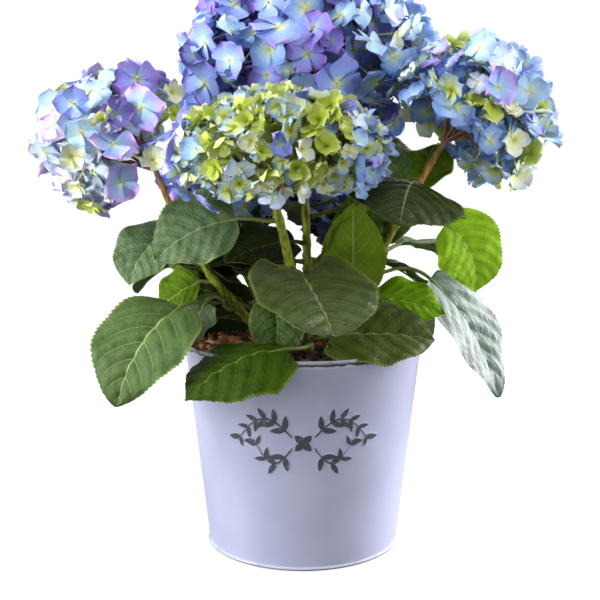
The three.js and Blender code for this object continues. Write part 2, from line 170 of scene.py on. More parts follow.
class Finish:
    """A material in the making: one Principled shader and the nodes that feed it."""

    def __init__(self, name, roughness, shine=PLAIN_SHINE):
        self.material = bpy.data.materials.new(name)
        self.material.use_nodes = True
        self.tree = self.material.node_tree
        self.shader = self.tree.nodes["Principled BSDF"]
        self.shader.inputs["Roughness"].default_value = roughness
        self.shader.inputs["Specular IOR Level"].default_value = shine

    def node(self, kind, inputs, out=0, **settings):
        made = self.tree.nodes.new("ShaderNode" + kind)
        for key, value in settings.items():
            setattr(made, key, value)
        for key, value in inputs.items():
            if isinstance(value, bpy.types.NodeSocket):
                self.tree.links.new(value, made.inputs[key])
            else:
                made.inputs[key].default_value = value
        return made.outputs[out]

    def math(self, operation, first, second=0.0):
        return self.node("Math", {0: first, 1: second}, operation=operation)

    def plus(self, first, second):
        return self.math("ADD", first, second)

    def minus(self, first, second):
        return self.math("SUBTRACT", first, second)

    def times(self, first, second):
        return self.math("MULTIPLY", first, second)

    def rest(self, share):
        """What a share leaves of 1."""
        return self.minus(1.0, share)

    def step(self, value, low, high):
        """Rises smoothly from 0 at low to 1 at high."""
        ends = {"Value": value, "From Min": low, "From Max": high}
        return self.node("MapRange", ends, interpolation_type="SMOOTHSTEP")

    def mix(self, share, first, second, blend="MIX"):
        return self.node("MixRGB", {"Fac": share, "Color1": first, "Color2": second}, blend_type=blend)

    def noise(self, place, scale, detail=3.0):
        return self.node("TexNoise", {"Vector": place, "Scale": scale, "Detail": detail})

    def ramp(self, share, stops):
        """Colours along a share from 0 to 1: stops is a list of (share, colour)."""
        made = self.tree.nodes.new("ShaderNodeValToRGB")
        self.tree.links.new(share, made.inputs["Fac"])
        elements = made.color_ramp.elements
        while len(elements) < len(stops):
            elements.new(0.5)
        for element, (position, colour) in zip(elements, stops):
            element.position = position
            element.color = colour
        return made.outputs["Color"]

    def place(self):
        return self.node("TexCoord", {}, out="Object")

    def split(self, vector):
        self.node("SeparateXYZ", {"Vector": vector})
        return list(self.tree.nodes[-1].outputs)

    def own_map(self):
        """Shares along and across, from the piece's own UV map."""
        return self.split(self.node("UVMap", {}, uv_map=UV_NAME))[:2]

    def colour(self, colour):
        self.tree.links.new(colour, self.shader.inputs["Base Color"])

    def bump(self, height, distance, strength=1.0):
        inputs = {"Height": height, "Distance": distance, "Strength": strength}
        self.tree.links.new(self.node("Bump", inputs), self.shader.inputs["Normal"])


def blend(first, second, share):
    return first + (second - first) * share


def mesh_from(bm, name, sharp_degrees=45):
    """A smooth-shaded mesh from a bmesh, with its sharper edges kept crisp."""
    mesh = bpy.data.meshes.new(name)
    bm.to_mesh(mesh)
    bm.free()
    mesh.shade_smooth()
    mesh.set_sharp_from_angle(angle=math.radians(sharp_degrees))
    return mesh


def add_piece(name, mesh, finishes, slot, *nodes):
    """Puts a mesh made in millimetres into the scene as a piece that rides on the plant's body."""
    mesh.transform(Matrix.Scale(MM, 4))
    for finish in finishes:
        mesh.materials.append(finish.material)
    piece = bpy.data.objects.new(name, mesh)
    scene.collection.objects.link(piece)
    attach(piece, "root")
    if nodes:
        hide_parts(*nodes)
    print(name, len(mesh.polygons), "faces")
    return piece


# %% [markdown]
# ## Floor
#
# The floor is plain and pale. A white floor would also throw its light up at the plant, where the
# photograph is dark among the stems. So the camera sees pale paper that glows a little, with a soft shadow
# on it, while the plant is lit by a much darker floor, as if a black card lay just outside the picture.

# %% Floor
FLOOR_GLOW = 0.46
FLOOR_PALE = (0.52, 0.52, 0.53, 1.0)
FLOOR_DARK = (0.1, 0.1, 0.1, 1.0)
floor_finish = Finish("floor_paper", 0.9)
seen = floor_finish.node("LightPath", {}, out="Is Camera Ray")
floor_tint = floor_finish.noise(floor_finish.place(), 1.5)
paper = floor_finish.mix(floor_tint, FLOOR_PALE, paint("c2c2c4"))
floor_finish.colour(floor_finish.mix(seen, FLOOR_DARK, paper))
floor_finish.shader.inputs["Emission Color"].default_value = WHITE
floor_glow = floor_finish.times(seen, FLOOR_GLOW)
floor_finish.tree.links.new(floor_glow, floor_finish.shader.inputs["Emission Strength"])
floor_bm = bmesh.new()
bmesh.ops.create_grid(floor_bm, x_segments=8, y_segments=8, size=FLOOR_HALF)
floor_mesh = bpy.data.meshes.new("floor")
floor_bm.to_mesh(floor_mesh)
floor_bm.free()
floor_mesh.materials.append(floor_finish.material)
floor = bpy.data.objects.new("floor", floor_mesh)
scene.collection.objects.link(floor)
print("floor side in metres", 2 * FLOOR_HALF)

# %% [markdown]
# ## Pot
#
# The pot is a bucket of thin tin with a rolled rim and a folded seam round its foot. It could be a cone
# with a Solidify modifier, but the roll and the fold are what catch the light, so the whole section is
# drawn once, from the underside, up the wall, over the roll and down inside, and spun round. A lock seam
# runs up the back.

# %% Pot shape
POT_HEIGHT = 146.0
RIM_RADIUS = 85.0
FOOT_RADIUS = 68.5
WALL_INSET = 1.2
WALL_THICK = 1.6
ROLL_HALF = (1.3, 1.35)
FOLD_HALF = (1.3, 1.2)
FOLD_CLEAR = 1.0
NECK_DROP = 0.5
BAND_BELOW = (3.4, 2.6, 0.9)
BAND_PROUD = 0.45
RECESS = 2.6
FOOT_RING = 3.0
FOOT_SLOPE = 0.8
INNER_FLOOR = 5.0
WALL_STATIONS = (50.0, 95.0)
INNER_STATION = 100.0
POT_STEPS = 144


def wall_radius(height):
    """Outer radius of the plain wall at a height above the ground."""
    return FOOT_RADIUS + (RIM_RADIUS - FOOT_RADIUS) * height / POT_HEIGHT - WALL_INSET


def on_wall(height, proud=0.0):
    """A point of the section, proud of the plain wall or, with a minus, within it."""
    return wall_radius(height) + proud, height


def section_arc(height, halves, start, end, steps=9):
    """Points of an oval bead on the wall, from one angle to another, as (radius, height)."""
    turns = [math.radians(start + (end - start) * number / steps) for number in range(steps + 1)]
    middle = wall_radius(height)
    return [(middle + halves[0] * math.cos(turn), height + halves[1] * math.sin(turn)) for turn in turns]


def spin_section(bm, section, steps):
    """A closed body from a section drawn as (radius, height), spun once round the pot's axis."""
    points = [bm.verts.new((radius, 0.0, height)) for radius, height in section]
    edges = [bm.edges.new(pair) for pair in zip(points, points[1:])]
    bmesh.ops.spin(
        bm, geom=points + edges, cent=(0, 0, 0), axis=(0, 0, 1), angle=math.tau, steps=steps, use_merge=True
    )
    bmesh.ops.remove_doubles(bm, verts=bm.verts[:], dist=0.001)
    bmesh.ops.recalc_face_normals(bm, faces=bm.faces[:])


def wrap(verts, bearing):
    """Wraps flat work round the wall: x is the way round, y the height, and z how proud it stands."""
    for vert in verts:
        angle = bearing + vert.co.x / wall_radius(vert.co.y)
        radius = wall_radius(vert.co.y) + vert.co.z
        vert.co = (radius * math.cos(angle), radius * math.sin(angle), vert.co.y)


roll_height = POT_HEIGHT - ROLL_HALF[1]
neck_height = roll_height - ROLL_HALF[1]
fold_top = 2 * FOLD_HALF[1]
foot_ring = wall_radius(0) - FOOT_RING
band_foot, band_low, band_high = [neck_height - below for below in BAND_BELOW]
section = [(0.0, RECESS), (foot_ring, RECESS), (foot_ring + FOOT_SLOPE, 0.0)]
section += section_arc(FOLD_HALF[1], FOLD_HALF, -90, 80)
section += [on_wall(height) for height in (fold_top + FOLD_CLEAR, *WALL_STATIONS, band_foot)]
section += [on_wall(height, BAND_PROUD) for height in (band_low, band_high)]
section.append(on_wall(neck_height, -NECK_DROP))
section += section_arc(roll_height, ROLL_HALF, -60, 200, 13)
section += [on_wall(height, -WALL_THICK) for height in (neck_height, INNER_STATION, INNER_FLOOR)]
section.append((0.0, INNER_FLOOR))
pot_bm = bmesh.new()
spin_section(pot_bm, section, POT_STEPS)

LOCK_SEAM_HALF = 3.6
LOCK_SEAM_PROUD = 0.7
LOCK_SEAM_SUNK = -0.2
LOCK_SEAM_LIP = 0.4
LOCK_SEAM_BELOW = 3.0
LOCK_SEAM_TIN = 0.3
seam_bm = bmesh.new()
bmesh.ops.create_grid(seam_bm, x_segments=4, y_segments=24, size=0.5)
for vert in seam_bm.verts:
    proud = LOCK_SEAM_PROUD if abs(vert.co.x) < LOCK_SEAM_LIP else LOCK_SEAM_SUNK
    height = fold_top + (vert.co.y + 0.5) * (neck_height - LOCK_SEAM_BELOW - fold_top)
    vert.co = (2 * LOCK_SEAM_HALF * vert.co.x, height, proud)
wrap(seam_bm.verts, math.pi / 2)
bmesh.ops.solidify(seam_bm, geom=seam_bm.faces[:], thickness=LOCK_SEAM_TIN)
seam_mesh = mesh_from(seam_bm, "lock_seam")
print("pot section points", len(section))

# %% [markdown]
# ## Enamel
#
# The tin is painted a pale lavender blue with a satin gloss. The paint is slightly uneven, a brown line of
# dirt darkened by painted shade sits under the roll, the roll itself is rubbed to a dull grey brown, and the
# fold to a pale grey with a painted shadow where it meets the floor. Earth stains and painted shade darken
# the inside. All of this follows the height on the pot and the distance from its wall, so the nodes read the
# object's own coordinates and break the edges with noise.

# %% Enamel
DIRT_SHADE_BAND = (-1.6, -0.4)
ROLL_BAND = (0.1, 0.9)
FOLD_BAND = (-0.6, 0.4)
CONTACT_SHADOW_BAND = (0.4, 1.3)
STAIN_SHADE_DEPTH = (0.5, 1.2)
STAIN_SHADE_BAND = (-0.6, 0.4)
RAGGED_EDGE = 0.004
ENAMEL_GRAIN = 0.00006
enamel = Finish("lavender_enamel", 0.4)
place = enamel.place()
across_x, across_y, height = enamel.split(place)


def rise_over(value, base, band):
    """Rises from 0 to 1 over a band, in millimetres above a base."""
    return enamel.step(value, (base + band[0]) * MM, (base + band[1]) * MM)


cloud = enamel.noise(place, 14.0, 4.0)
speck = enamel.noise(place, 900.0, 2.0)
ragged = enamel.times(enamel.minus(enamel.noise(place, 160.0, 4.0), 0.5), RAGGED_EDGE)
worn_height = enamel.plus(height, ragged)
coat = enamel.mix(enamel.step(cloud, 0.35, 0.68), paint("bcc0de"), paint("c9cdea"))
coat = enamel.mix(enamel.times(enamel.step(speck, 0.62, 0.75), 0.25), coat, paint("a9abc8"))
# A brown line of dirt under the roll, darkened further as painted shade
dirt_and_shade_line = rise_over(worn_height, neck_height, DIRT_SHADE_BAND)
coat = enamel.mix(enamel.times(dirt_and_shade_line, 0.95), coat, paint("4a382c"))
rubbed = enamel.mix(enamel.step(enamel.noise(place, 90.0, 5.0), 0.45, 0.62), paint("a6a5b2"), paint("675c53"))
coat = enamel.mix(rise_over(worn_height, neck_height, ROLL_BAND), coat, rubbed)
bare = enamel.mix(enamel.step(enamel.noise(place, 70.0, 4.0), 0.52, 0.72), paint("c6c9de"), paint("9c9caa"))
at_foot = enamel.rest(rise_over(worn_height, fold_top, FOLD_BAND))
coat = enamel.mix(at_foot, coat, bare)
# Painted shadow where the fold meets the floor
in_shade = enamel.rest(rise_over(height, 0.0, CONTACT_SHADOW_BAND))
coat = enamel.mix(in_shade, coat, paint("5f5a58"))
squares = [enamel.math("POWER", across, 2.0) for across in (across_x, across_y)]
radius = enamel.math("SQRT", enamel.plus(*squares))
wall = enamel.plus(wall_radius(0) * MM, enamel.times(height, wall_radius(1) - wall_radius(0)))
# Inside the wall below the roll, earth stain and painted shade darken the tin
within = rise_over(enamel.minus(wall, radius), 0.0, STAIN_SHADE_DEPTH)
under_roll = enamel.rest(rise_over(height, neck_height, STAIN_SHADE_BAND))
earth_stain_and_shade = enamel.mix(enamel.noise(place, 120.0, 4.0), paint("2a2019"), paint("5a4636"))
enamel.colour(enamel.mix(enamel.times(within, under_roll), coat, earth_stain_and_shade))
enamel.bump(enamel.noise(place, 260.0, 3.0), ENAMEL_GRAIN, 0.6)

add_piece("pot_shell", mesh_from(pot_bm, "pot_shell", 60), [enamel], "pot_tin", "pot")
add_piece("pot_lock_seam", seam_mesh, [enamel], "pot_tin")

# %% [markdown]
# ## Sprig on the pot
#
# The front of the pot carries a dark grey ornament, slightly raised, about a hand's width wide. Here it is
# a pair of arching sprigs, and a shorter pair under it, either side of a small four-petalled flower. It
# could be painted by nodes, but a raised mark needs an edge that takes light, so flat shapes are cut from
# grids, extruded, and wrapped round the wall. Their sides are painted pale grey as a painted highlight.

# %% Sprig
SPRIG_HEIGHT = 91.0
SPRIG_FOOT = 7.5
Sprig = namedtuple("Sprig", "reach arch leaves")
SPRIGS = (Sprig(45.0, 14.0, 6), Sprig(33.0, -13.0, 4))
SPRIG_PROUD = 0.55
STROKE_HALF = 0.75
STROKE_TAPER = (1.15, 0.6)
SPRIG_LEAF_LENGTH = 10.5
SPRIG_LEAF_LOSS = 3.5
SPRIG_LEAF_SLIM = 0.2
SPRIG_LEAF_SPLAY = math.radians(50)
TIP_LEAF = (8.0, 1.9)
TIP_LEAF_AT = 0.97
PETAL = (7.5, 2.5)


def sprig_point(sprig, share, side):
    """A point on a sprig's stem, from the middle of the ornament outwards."""
    rise = sprig.arch * (0.3 + math.sin(math.pi * share) - 0.35 * share)
    return Vector((side * blend(SPRIG_FOOT, sprig.reach, share), SPRIG_HEIGHT + rise, 0.0))


def flat_leaf(bm, foot, bearing, length, half):
    """A lens-shaped leaf from a grid, laid flat from its foot towards a bearing."""
    grid = bmesh.ops.create_grid(bm, x_segments=9, y_segments=2, size=0.5)["verts"]
    for vert in grid:
        share = vert.co.x + 0.5
        width = half * math.sin(math.pi * share ** 0.8) ** 0.8
        vert.co = (length * share, 2 * width * vert.co.y, 0.0)
    turn = Matrix.Translation(foot) @ Matrix.Rotation(bearing, 4, "Z")
    bmesh.ops.transform(bm, matrix=turn, verts=grid)


def add_sprig(bm, sprig, side):
    """One stem with its pairs of leaves and a last leaf at its tip."""
    stem = bmesh.ops.create_grid(bm, x_segments=30, y_segments=1, size=0.5)["verts"]
    for vert in stem:
        share = vert.co.x + 0.5
        taper = STROKE_HALF * (STROKE_TAPER[0] - STROKE_TAPER[1] * share)
        vert.co = sprig_point(sprig, share, side) + Vector((0.0, 2 * taper * vert.co.y * side, 0.0))
    for number in range(sprig.leaves):
        share = (number + 0.7) / sprig.leaves
        ahead = sprig_point(sprig, share + 0.02, side) - sprig_point(sprig, share, side)
        bearing = math.atan2(ahead.y, ahead.x)
        length = SPRIG_LEAF_LENGTH - SPRIG_LEAF_LOSS * share
        for way in (-1, 1):
            turned = bearing + way * SPRIG_LEAF_SPLAY
            flat_leaf(bm, sprig_point(sprig, share, side), turned, length, SPRIG_LEAF_SLIM * length)
    flat_leaf(bm, sprig_point(sprig, TIP_LEAF_AT, side), 0.0 if side > 0 else math.pi, *TIP_LEAF)


sprig_bm = bmesh.new()
for sprig in SPRIGS:
    for side in (-1, 1):
        add_sprig(sprig_bm, sprig, side)
for petal in range(4):
    flat_leaf(sprig_bm, Vector((0.0, SPRIG_HEIGHT, 0.0)), math.radians(45 + 90 * petal), *PETAL)
bmesh.ops.recalc_face_normals(sprig_bm, faces=sprig_bm.faces[:])
bmesh.ops.reverse_faces(sprig_bm, faces=[face for face in sprig_bm.faces if face.normal.z < 0])
raised = bmesh.ops.extrude_face_region(sprig_bm, geom=sprig_bm.faces[:])["geom"]
tops = [item for item in raised if isinstance(item, bmesh.types.BMVert)]
bmesh.ops.translate(sprig_bm, vec=(0.0, 0.0, SPRIG_PROUD), verts=tops)
sprig_bm.normal_update()
for face in sprig_bm.faces:
    # The sides of the raised shapes take the pale finish, a painted highlight
    face.material_index = 1 if abs(face.normal.z) < 0.5 else 0
bmesh.ops.delete(sprig_bm, geom=[face for face in sprig_bm.faces if face.normal.z < -0.5], context="FACES")
wrap(sprig_bm.verts, -math.pi / 2)

sprig_ink = Finish("sprig_grey", 0.55)
ink_place = sprig_ink.place()
ink_wear = sprig_ink.step(sprig_ink.noise(ink_place, 420.0, 4.0), 0.55, 0.75)
sprig_ink.colour(sprig_ink.mix(ink_wear, paint("4c5055"), paint("83878f")))
# Painted highlight on the raised edges, in pale grey
sprig_highlight = Finish("sprig_highlight", 0.4)
highlight_mottle = sprig_highlight.step(sprig_highlight.noise(sprig_highlight.place(), 300.0, 3.0), 0.4, 0.7)
sprig_highlight.colour(sprig_highlight.mix(highlight_mottle, paint("dfe2f2"), paint("b4b7cf")))
add_piece("pot_sprig", mesh_from(sprig_bm, "pot_sprig", 30), [sprig_ink, sprig_highlight], "pot_tin")

# %% [markdown]
# ## Compost
#
# The pot is filled to just below its rim with coarse, reddish-brown bark compost, settled at the wall. The
# body is a spun section whose top is roughened with noise, and which is painted darker under the shoot and
# its leaves, as painted shade. On it lie hundreds of granules and shards. They could be instances; instead a
# few small shapes are copied into one joined mesh.

# %% Compost body
SOIL_TOP = 139.0
SOIL_FLOOR = 8.0
SOIL_FLAT_RADIUS = 52.0
SOIL_EDGE_DROP = 2.5
SOIL_HEAP = 3.0
SOIL_SHADE_AT = (14.0, -52.0)
SOIL_SHADE_REACH = 42.0
SOIL_SHADE_FADE = (0.7, 1.1)
SOIL_RINGS = 22
SOIL_STEPS = 96
SOIL_GAP = 0.3
SOIL_LUMPS = ((1.3, 0.13), (0.8, 0.4))
SOIL_LUMP_DROP = 0.6
CRUMB_SCALE = 330.0
CRUMB_RELIEF = 0.0012
soil_edge = wall_radius(SOIL_TOP - SOIL_EDGE_DROP) - WALL_THICK - SOIL_GAP


def soil_height(radius):
    """Height of the compost, a little heaped, level in the middle and settled at the wall."""
    share = max(0.0, (radius - SOIL_FLAT_RADIUS) / (soil_edge - SOIL_FLAT_RADIUS))
    return SOIL_TOP + SOIL_HEAP - SOIL_EDGE_DROP * share * share


soil_section = [(0.0, SOIL_FLOOR), (wall_radius(SOIL_FLOOR) - WALL_THICK - SOIL_GAP, SOIL_FLOOR)]
for ring in range(SOIL_RINGS + 1):
    radius = soil_edge * (1 - ring / SOIL_RINGS)
    soil_section.append((radius, soil_height(radius)))
soil_bm = bmesh.new()
spin_section(soil_bm, soil_section, SOIL_STEPS)
for vert in soil_bm.verts:
    if vert.co.z > SOIL_TOP - SOIL_EDGE_DROP - 0.5:
        lumps = [height * noise.noise(vert.co * scale) for height, scale in SOIL_LUMPS]
        vert.co.z += sum(lumps) - SOIL_LUMP_DROP

compost = Finish("bark_compost", 0.95)
place = compost.place()
crumbs = compost.node("TexVoronoi", {"Vector": place, "Scale": CRUMB_SCALE}, out="Color")
browns = [(0.0, paint("2c170e")), (0.4, paint("542a18")), (0.75, paint("7a3a20")), (1.0, paint("94633f"))]
crumb_brown = compost.ramp(compost.split(crumbs)[0], browns)
# Painted shade: the compost under the shoot and its leaves is darker
soil_shade_middle = Vector((*SOIL_SHADE_AT, SOIL_TOP)) * MM
from_soil_shade = compost.node("VectorMath", {0: place, 1: soil_shade_middle}, out="Value", operation="DISTANCE")
soil_shade = compost.rest(compost.step(from_soil_shade, *[share * SOIL_SHADE_REACH * MM for share in SOIL_SHADE_FADE]))
compost.colour(compost.mix(soil_shade, crumb_brown, paint("22130c")))
compost.bump(compost.node("TexVoronoi", {"Vector": place, "Scale": CRUMB_SCALE}), CRUMB_RELIEF)
add_piece("compost_body", mesh_from(soil_bm, "compost_body"), [compost], "compost", "soil")

# %% [markdown]
# ## Copies of a small shape
#
# Bark chips and florets repeat hundreds of times. Each kind is modelled once as a prototype of a few dozen
# faces, and its points are then turned, scaled and moved with arrays, and written into one mesh. Every copy
# is dealt one plain finish, and its strip of the UV map belongs to that finish, so a pattern along a sepal
# survives the export.

# %% Prototypes and joined copies
Copy = namedtuple("Copy", "prototype matrix finish")
STRIP_USED = 0.84


def prototype_from(bm, along, across):
    """Points, faces and map of a small shape. along and across name the layers that hold its map."""
    bm.verts.index_update()
    points = np.array([vert.co[:] for vert in bm.verts])
    faces = [[vert.index for vert in face.verts] for face in bm.faces]
    layers = bm.verts.layers.float
    marks = np.array([[vert[layers[along]], vert[layers[across]]] for vert in bm.verts])
    bm.free()
    return points, faces, marks


def join_copies(name, prototypes, copies, finish_count):
    """One mesh of all copies, with a finish and a strip of the map for each."""
    points, faces, finishes, uvs = [], [], [], []
    start = 0
    for copy in copies:
        shape, shape_faces, marks = prototypes[copy.prototype]
        turn = np.array(copy.matrix)
        points.append(shape @ turn[:3, :3].T + turn[:3, 3])
        faces += [[start + index for index in face] for face in shape_faces]
        finishes += [copy.finish] * len(shape_faces)
        order = np.concatenate(shape_faces)
        strip = (copy.finish + 0.5 + 0.5 * STRIP_USED * marks[order, 1]) / finish_count
        uvs.append(np.column_stack([marks[order, 0], strip]))
        start += len(shape)
    mesh = bpy.data.meshes.new(name)
    mesh.from_pydata(np.concatenate(points).tolist(), [], faces)
    mesh.polygons.foreach_set("material_index", finishes)
    mesh.uv_layers.new(name=UV_NAME).data.foreach_set("uv", np.concatenate(uvs).ravel())
    mesh.shade_smooth()
    return mesh


# %% Bark chips
CHIP_COUNT = 1100
CHIP_KINDS = 6
CHIP_CLEAR = 1.85
CHIP_SIZES = (1.6, 4.6)
CHIP_JITTER = 0.13
CHIP_CORNER = 0.75
CHIP_ROUNDING = 0.18
CHIP_SWELL = (0.9, 0.55)
CHIP_FLAT = (0.8, 0.5)
CHIP_TILT = 0.6
CHIP_ROLL = 0.5
CHIP_SUNK = 0.2
CHIP_LIFT = 0.12
SHADED_CHIP_BROWNS = (2, 4)
CHIP_BROWNS = ("8a4422", "ae683e", "4a2815", "c89468", "301b11", "9a5229")
dice = random.Random(5)


def bark_chip(long):
    """An uneven shard or granule, about 2 across, from a cut and jittered cube."""
    bm = bmesh.new()
    bmesh.ops.create_cube(bm, size=1.0)
    bmesh.ops.subdivide_edges(bm, edges=bm.edges[:], cuts=1, use_grid_fill=True)
    along = bm.verts.layers.float.new("along")
    across = bm.verts.layers.float.new("across")
    for vert in bm.verts:
        vert[along] = 0.5 + 0.45 * vert.co.x
        vert[across] = 1.4 * vert.co.y
        round_off = 1.0 - CHIP_ROUNDING * (vert.co.length > CHIP_CORNER)
        jitter = Vector([dice.uniform(-CHIP_JITTER, CHIP_JITTER) for axis in range(3)])
        vert.co = (vert.co * round_off + jitter) * Vector((long, *CHIP_SWELL)).length
        vert.co = Vector((vert.co.x * long, vert.co.y * CHIP_FLAT[0], vert.co.z * CHIP_FLAT[1]))
    return prototype_from(bm, "along", "across")


chip_shapes = [bark_chip(0.75 + 0.16 * kind) for kind in range(CHIP_KINDS)]
chip_finishes = []
for number, code in enumerate(CHIP_BROWNS):
    chip = Finish(f"bark_chip_{number}", 0.9)
    along, across = chip.own_map()
    grain_place = chip.node("CombineXYZ", {"X": chip.times(along, 3.0), "Y": across})
    grain = chip.step(chip.noise(grain_place, 40.0, 3.0), 0.35, 0.7)
    chip.colour(chip.mix(grain, paint(code), [share * 0.45 for share in paint(code)[:3]] + [1.0]))
    chip_finishes.append(chip)
chips = []
for number in range(CHIP_COUNT):
    size = dice.uniform(*CHIP_SIZES)
    radius = (soil_edge - CHIP_CLEAR * size) * math.sqrt(dice.random())
    bearing = dice.uniform(0, math.tau)
    level = soil_height(radius) - CHIP_SUNK + CHIP_LIFT * size
    at = Vector((radius * math.cos(bearing), radius * math.sin(bearing), level))
    turn = Quaternion((0, 0, 1), dice.uniform(0, math.tau))
    turn = turn @ Quaternion((1, 0, 0), dice.uniform(-CHIP_TILT, CHIP_TILT))
    turn = turn @ Quaternion((0, 1, 0), dice.uniform(-CHIP_ROLL, CHIP_ROLL))
    brown = dice.randrange(len(CHIP_BROWNS))
    # Chips in the leaves' shade are dealt dark browns, as painted shade
    if math.dist(at[:2], SOIL_SHADE_AT) < SOIL_SHADE_REACH * dice.uniform(*SOIL_SHADE_FADE):
        brown = dice.choice(SHADED_CHIP_BROWNS)
    chips.append(Copy(dice.randrange(CHIP_KINDS), Matrix.LocRotScale(at, turn, Vector((size,) * 3)), brown))
chip_mesh = join_copies("compost_chips", chip_shapes, chips, len(CHIP_BROWNS))
add_piece("compost_chips", chip_mesh, chip_finishes, "compost")

# %% [markdown]
# ## Canes
#
# Each cane leaves the compost, leans out and rises to a flower head. On the plant it is green to reddish
# brown, a little ribbed, swollen where leaves join, and dotted with corky specks. A curve with a bevel
# would be a plain pipe, so a ring is extruded station by station along the bent line, and its points are
# then pushed out by the relief.

# %% Cane rule
Cane = namedtuple("Cane", "foot lean tip girth", defaults=(1.0,))
CANES = {
    "left": Cane((-18, -2, 0), (-75, -5, 51), (-96, -20, 117)),
    "front": Cane((-4, -12, 0), (-4, -18, 51), (-18, -42, 101), 1.3),
    "right": Cane((22, 2, 0), (52, 0, 66), (92, -5, 136)),
    "top": Cane((3, 14, 0), (5, 24, 80), (-3, 56, 160)),
    "back_left": Cane((-14, 20, 0), (-42, 50, 38), (-61, 82, 76)),
    "back": Cane((12, 26, 0), (24, 60, 31), (32, 92, 69)),
    "shoot": Cane((4, -43, 0), (4, -45, 12), (3, -48, 24)),
}
CANE_FOOT_RADIUS = 3.3
CANE_TIP_RADIUS = 1.95
CANE_SUNK = 3.0
CANE_STATIONS = 44
CANE_SIDES = 16
SEAT_GAP = 0.3


def cane_point(name, share):
    """A point on the cane's bent line, above the ground."""
    foot, lean, tip = [Vector(corner) + Vector((0, 0, SOIL_TOP)) for corner in CANES[name][:3]]
    return foot.lerp(lean, share).lerp(lean.lerp(tip, share), share)


def cane_heading(name, share):
    foot, lean, tip = map(Vector, CANES[name][:3])
    return (lean - foot).lerp(tip - lean, share).normalized()


def cane_radius(name, share):
    return CANES[name].girth * blend(CANE_FOOT_RADIUS, CANE_TIP_RADIUS, share)


def heading_vector(bearing, pitch=0.0):
    """The way a compass bearing and a pitch point, both in radians."""
    level = math.cos(pitch)
    return Vector((level * math.cos(bearing), level * math.sin(bearing), math.sin(pitch)))


def grow_tube(bm, stations, sides):
    """A closed tube through stations of (centre, heading, radius): a ring extruded from one to the next."""
    turn = stations[0][1].to_track_quat("Z", "X")
    heading = stations[0][1]
    frames = []
    for centre, ahead, radius in stations:
        turn = heading.rotation_difference(ahead) @ turn
        heading = ahead
        frames.append(Matrix.LocRotScale(centre, turn, Vector((radius,) * 3)))
    ring = bmesh.ops.create_circle(bm, cap_ends=True, segments=sides, radius=1.0, matrix=frames[0])["verts"]
    tube = list(ring)
    edges = {edge for vert in ring for edge in vert.link_edges}
    for before, after in zip(frames, frames[1:]):
        grown = bmesh.ops.extrude_edge_only(bm, edges=list(edges))["geom"]
        ring = [item for item in grown if isinstance(item, bmesh.types.BMVert)]
        lines = [item for item in grown if isinstance(item, bmesh.types.BMEdge)]
        edges = {edge for edge in lines if edge.verts[0] in ring and edge.verts[1] in ring}
        bmesh.ops.transform(bm, matrix=after @ before.inverted(), verts=ring)
        tube += ring
    bmesh.ops.contextual_create(bm, geom=list(edges))
    faces = {face for vert in tube for face in vert.link_faces}
    bmesh.ops.recalc_face_normals(bm, faces=list(faces))
    return tube


# %% [markdown]
# ## Leaf table
#
# A leaf starts on its cane, leaves it square, bends to its rise, and then the blade droops along its
# midrib. Each row says where it sits, how long its stalk and blade are, how it turns, pitches, droops,
# rolls and folds, which tone of green it has, and how far its base reaches back beside the stalk. Leaves
# that let light through are painted bright as if lit from behind, those in shade under the heads are
# painted dark as shade, and one carries a painted silver sheen.

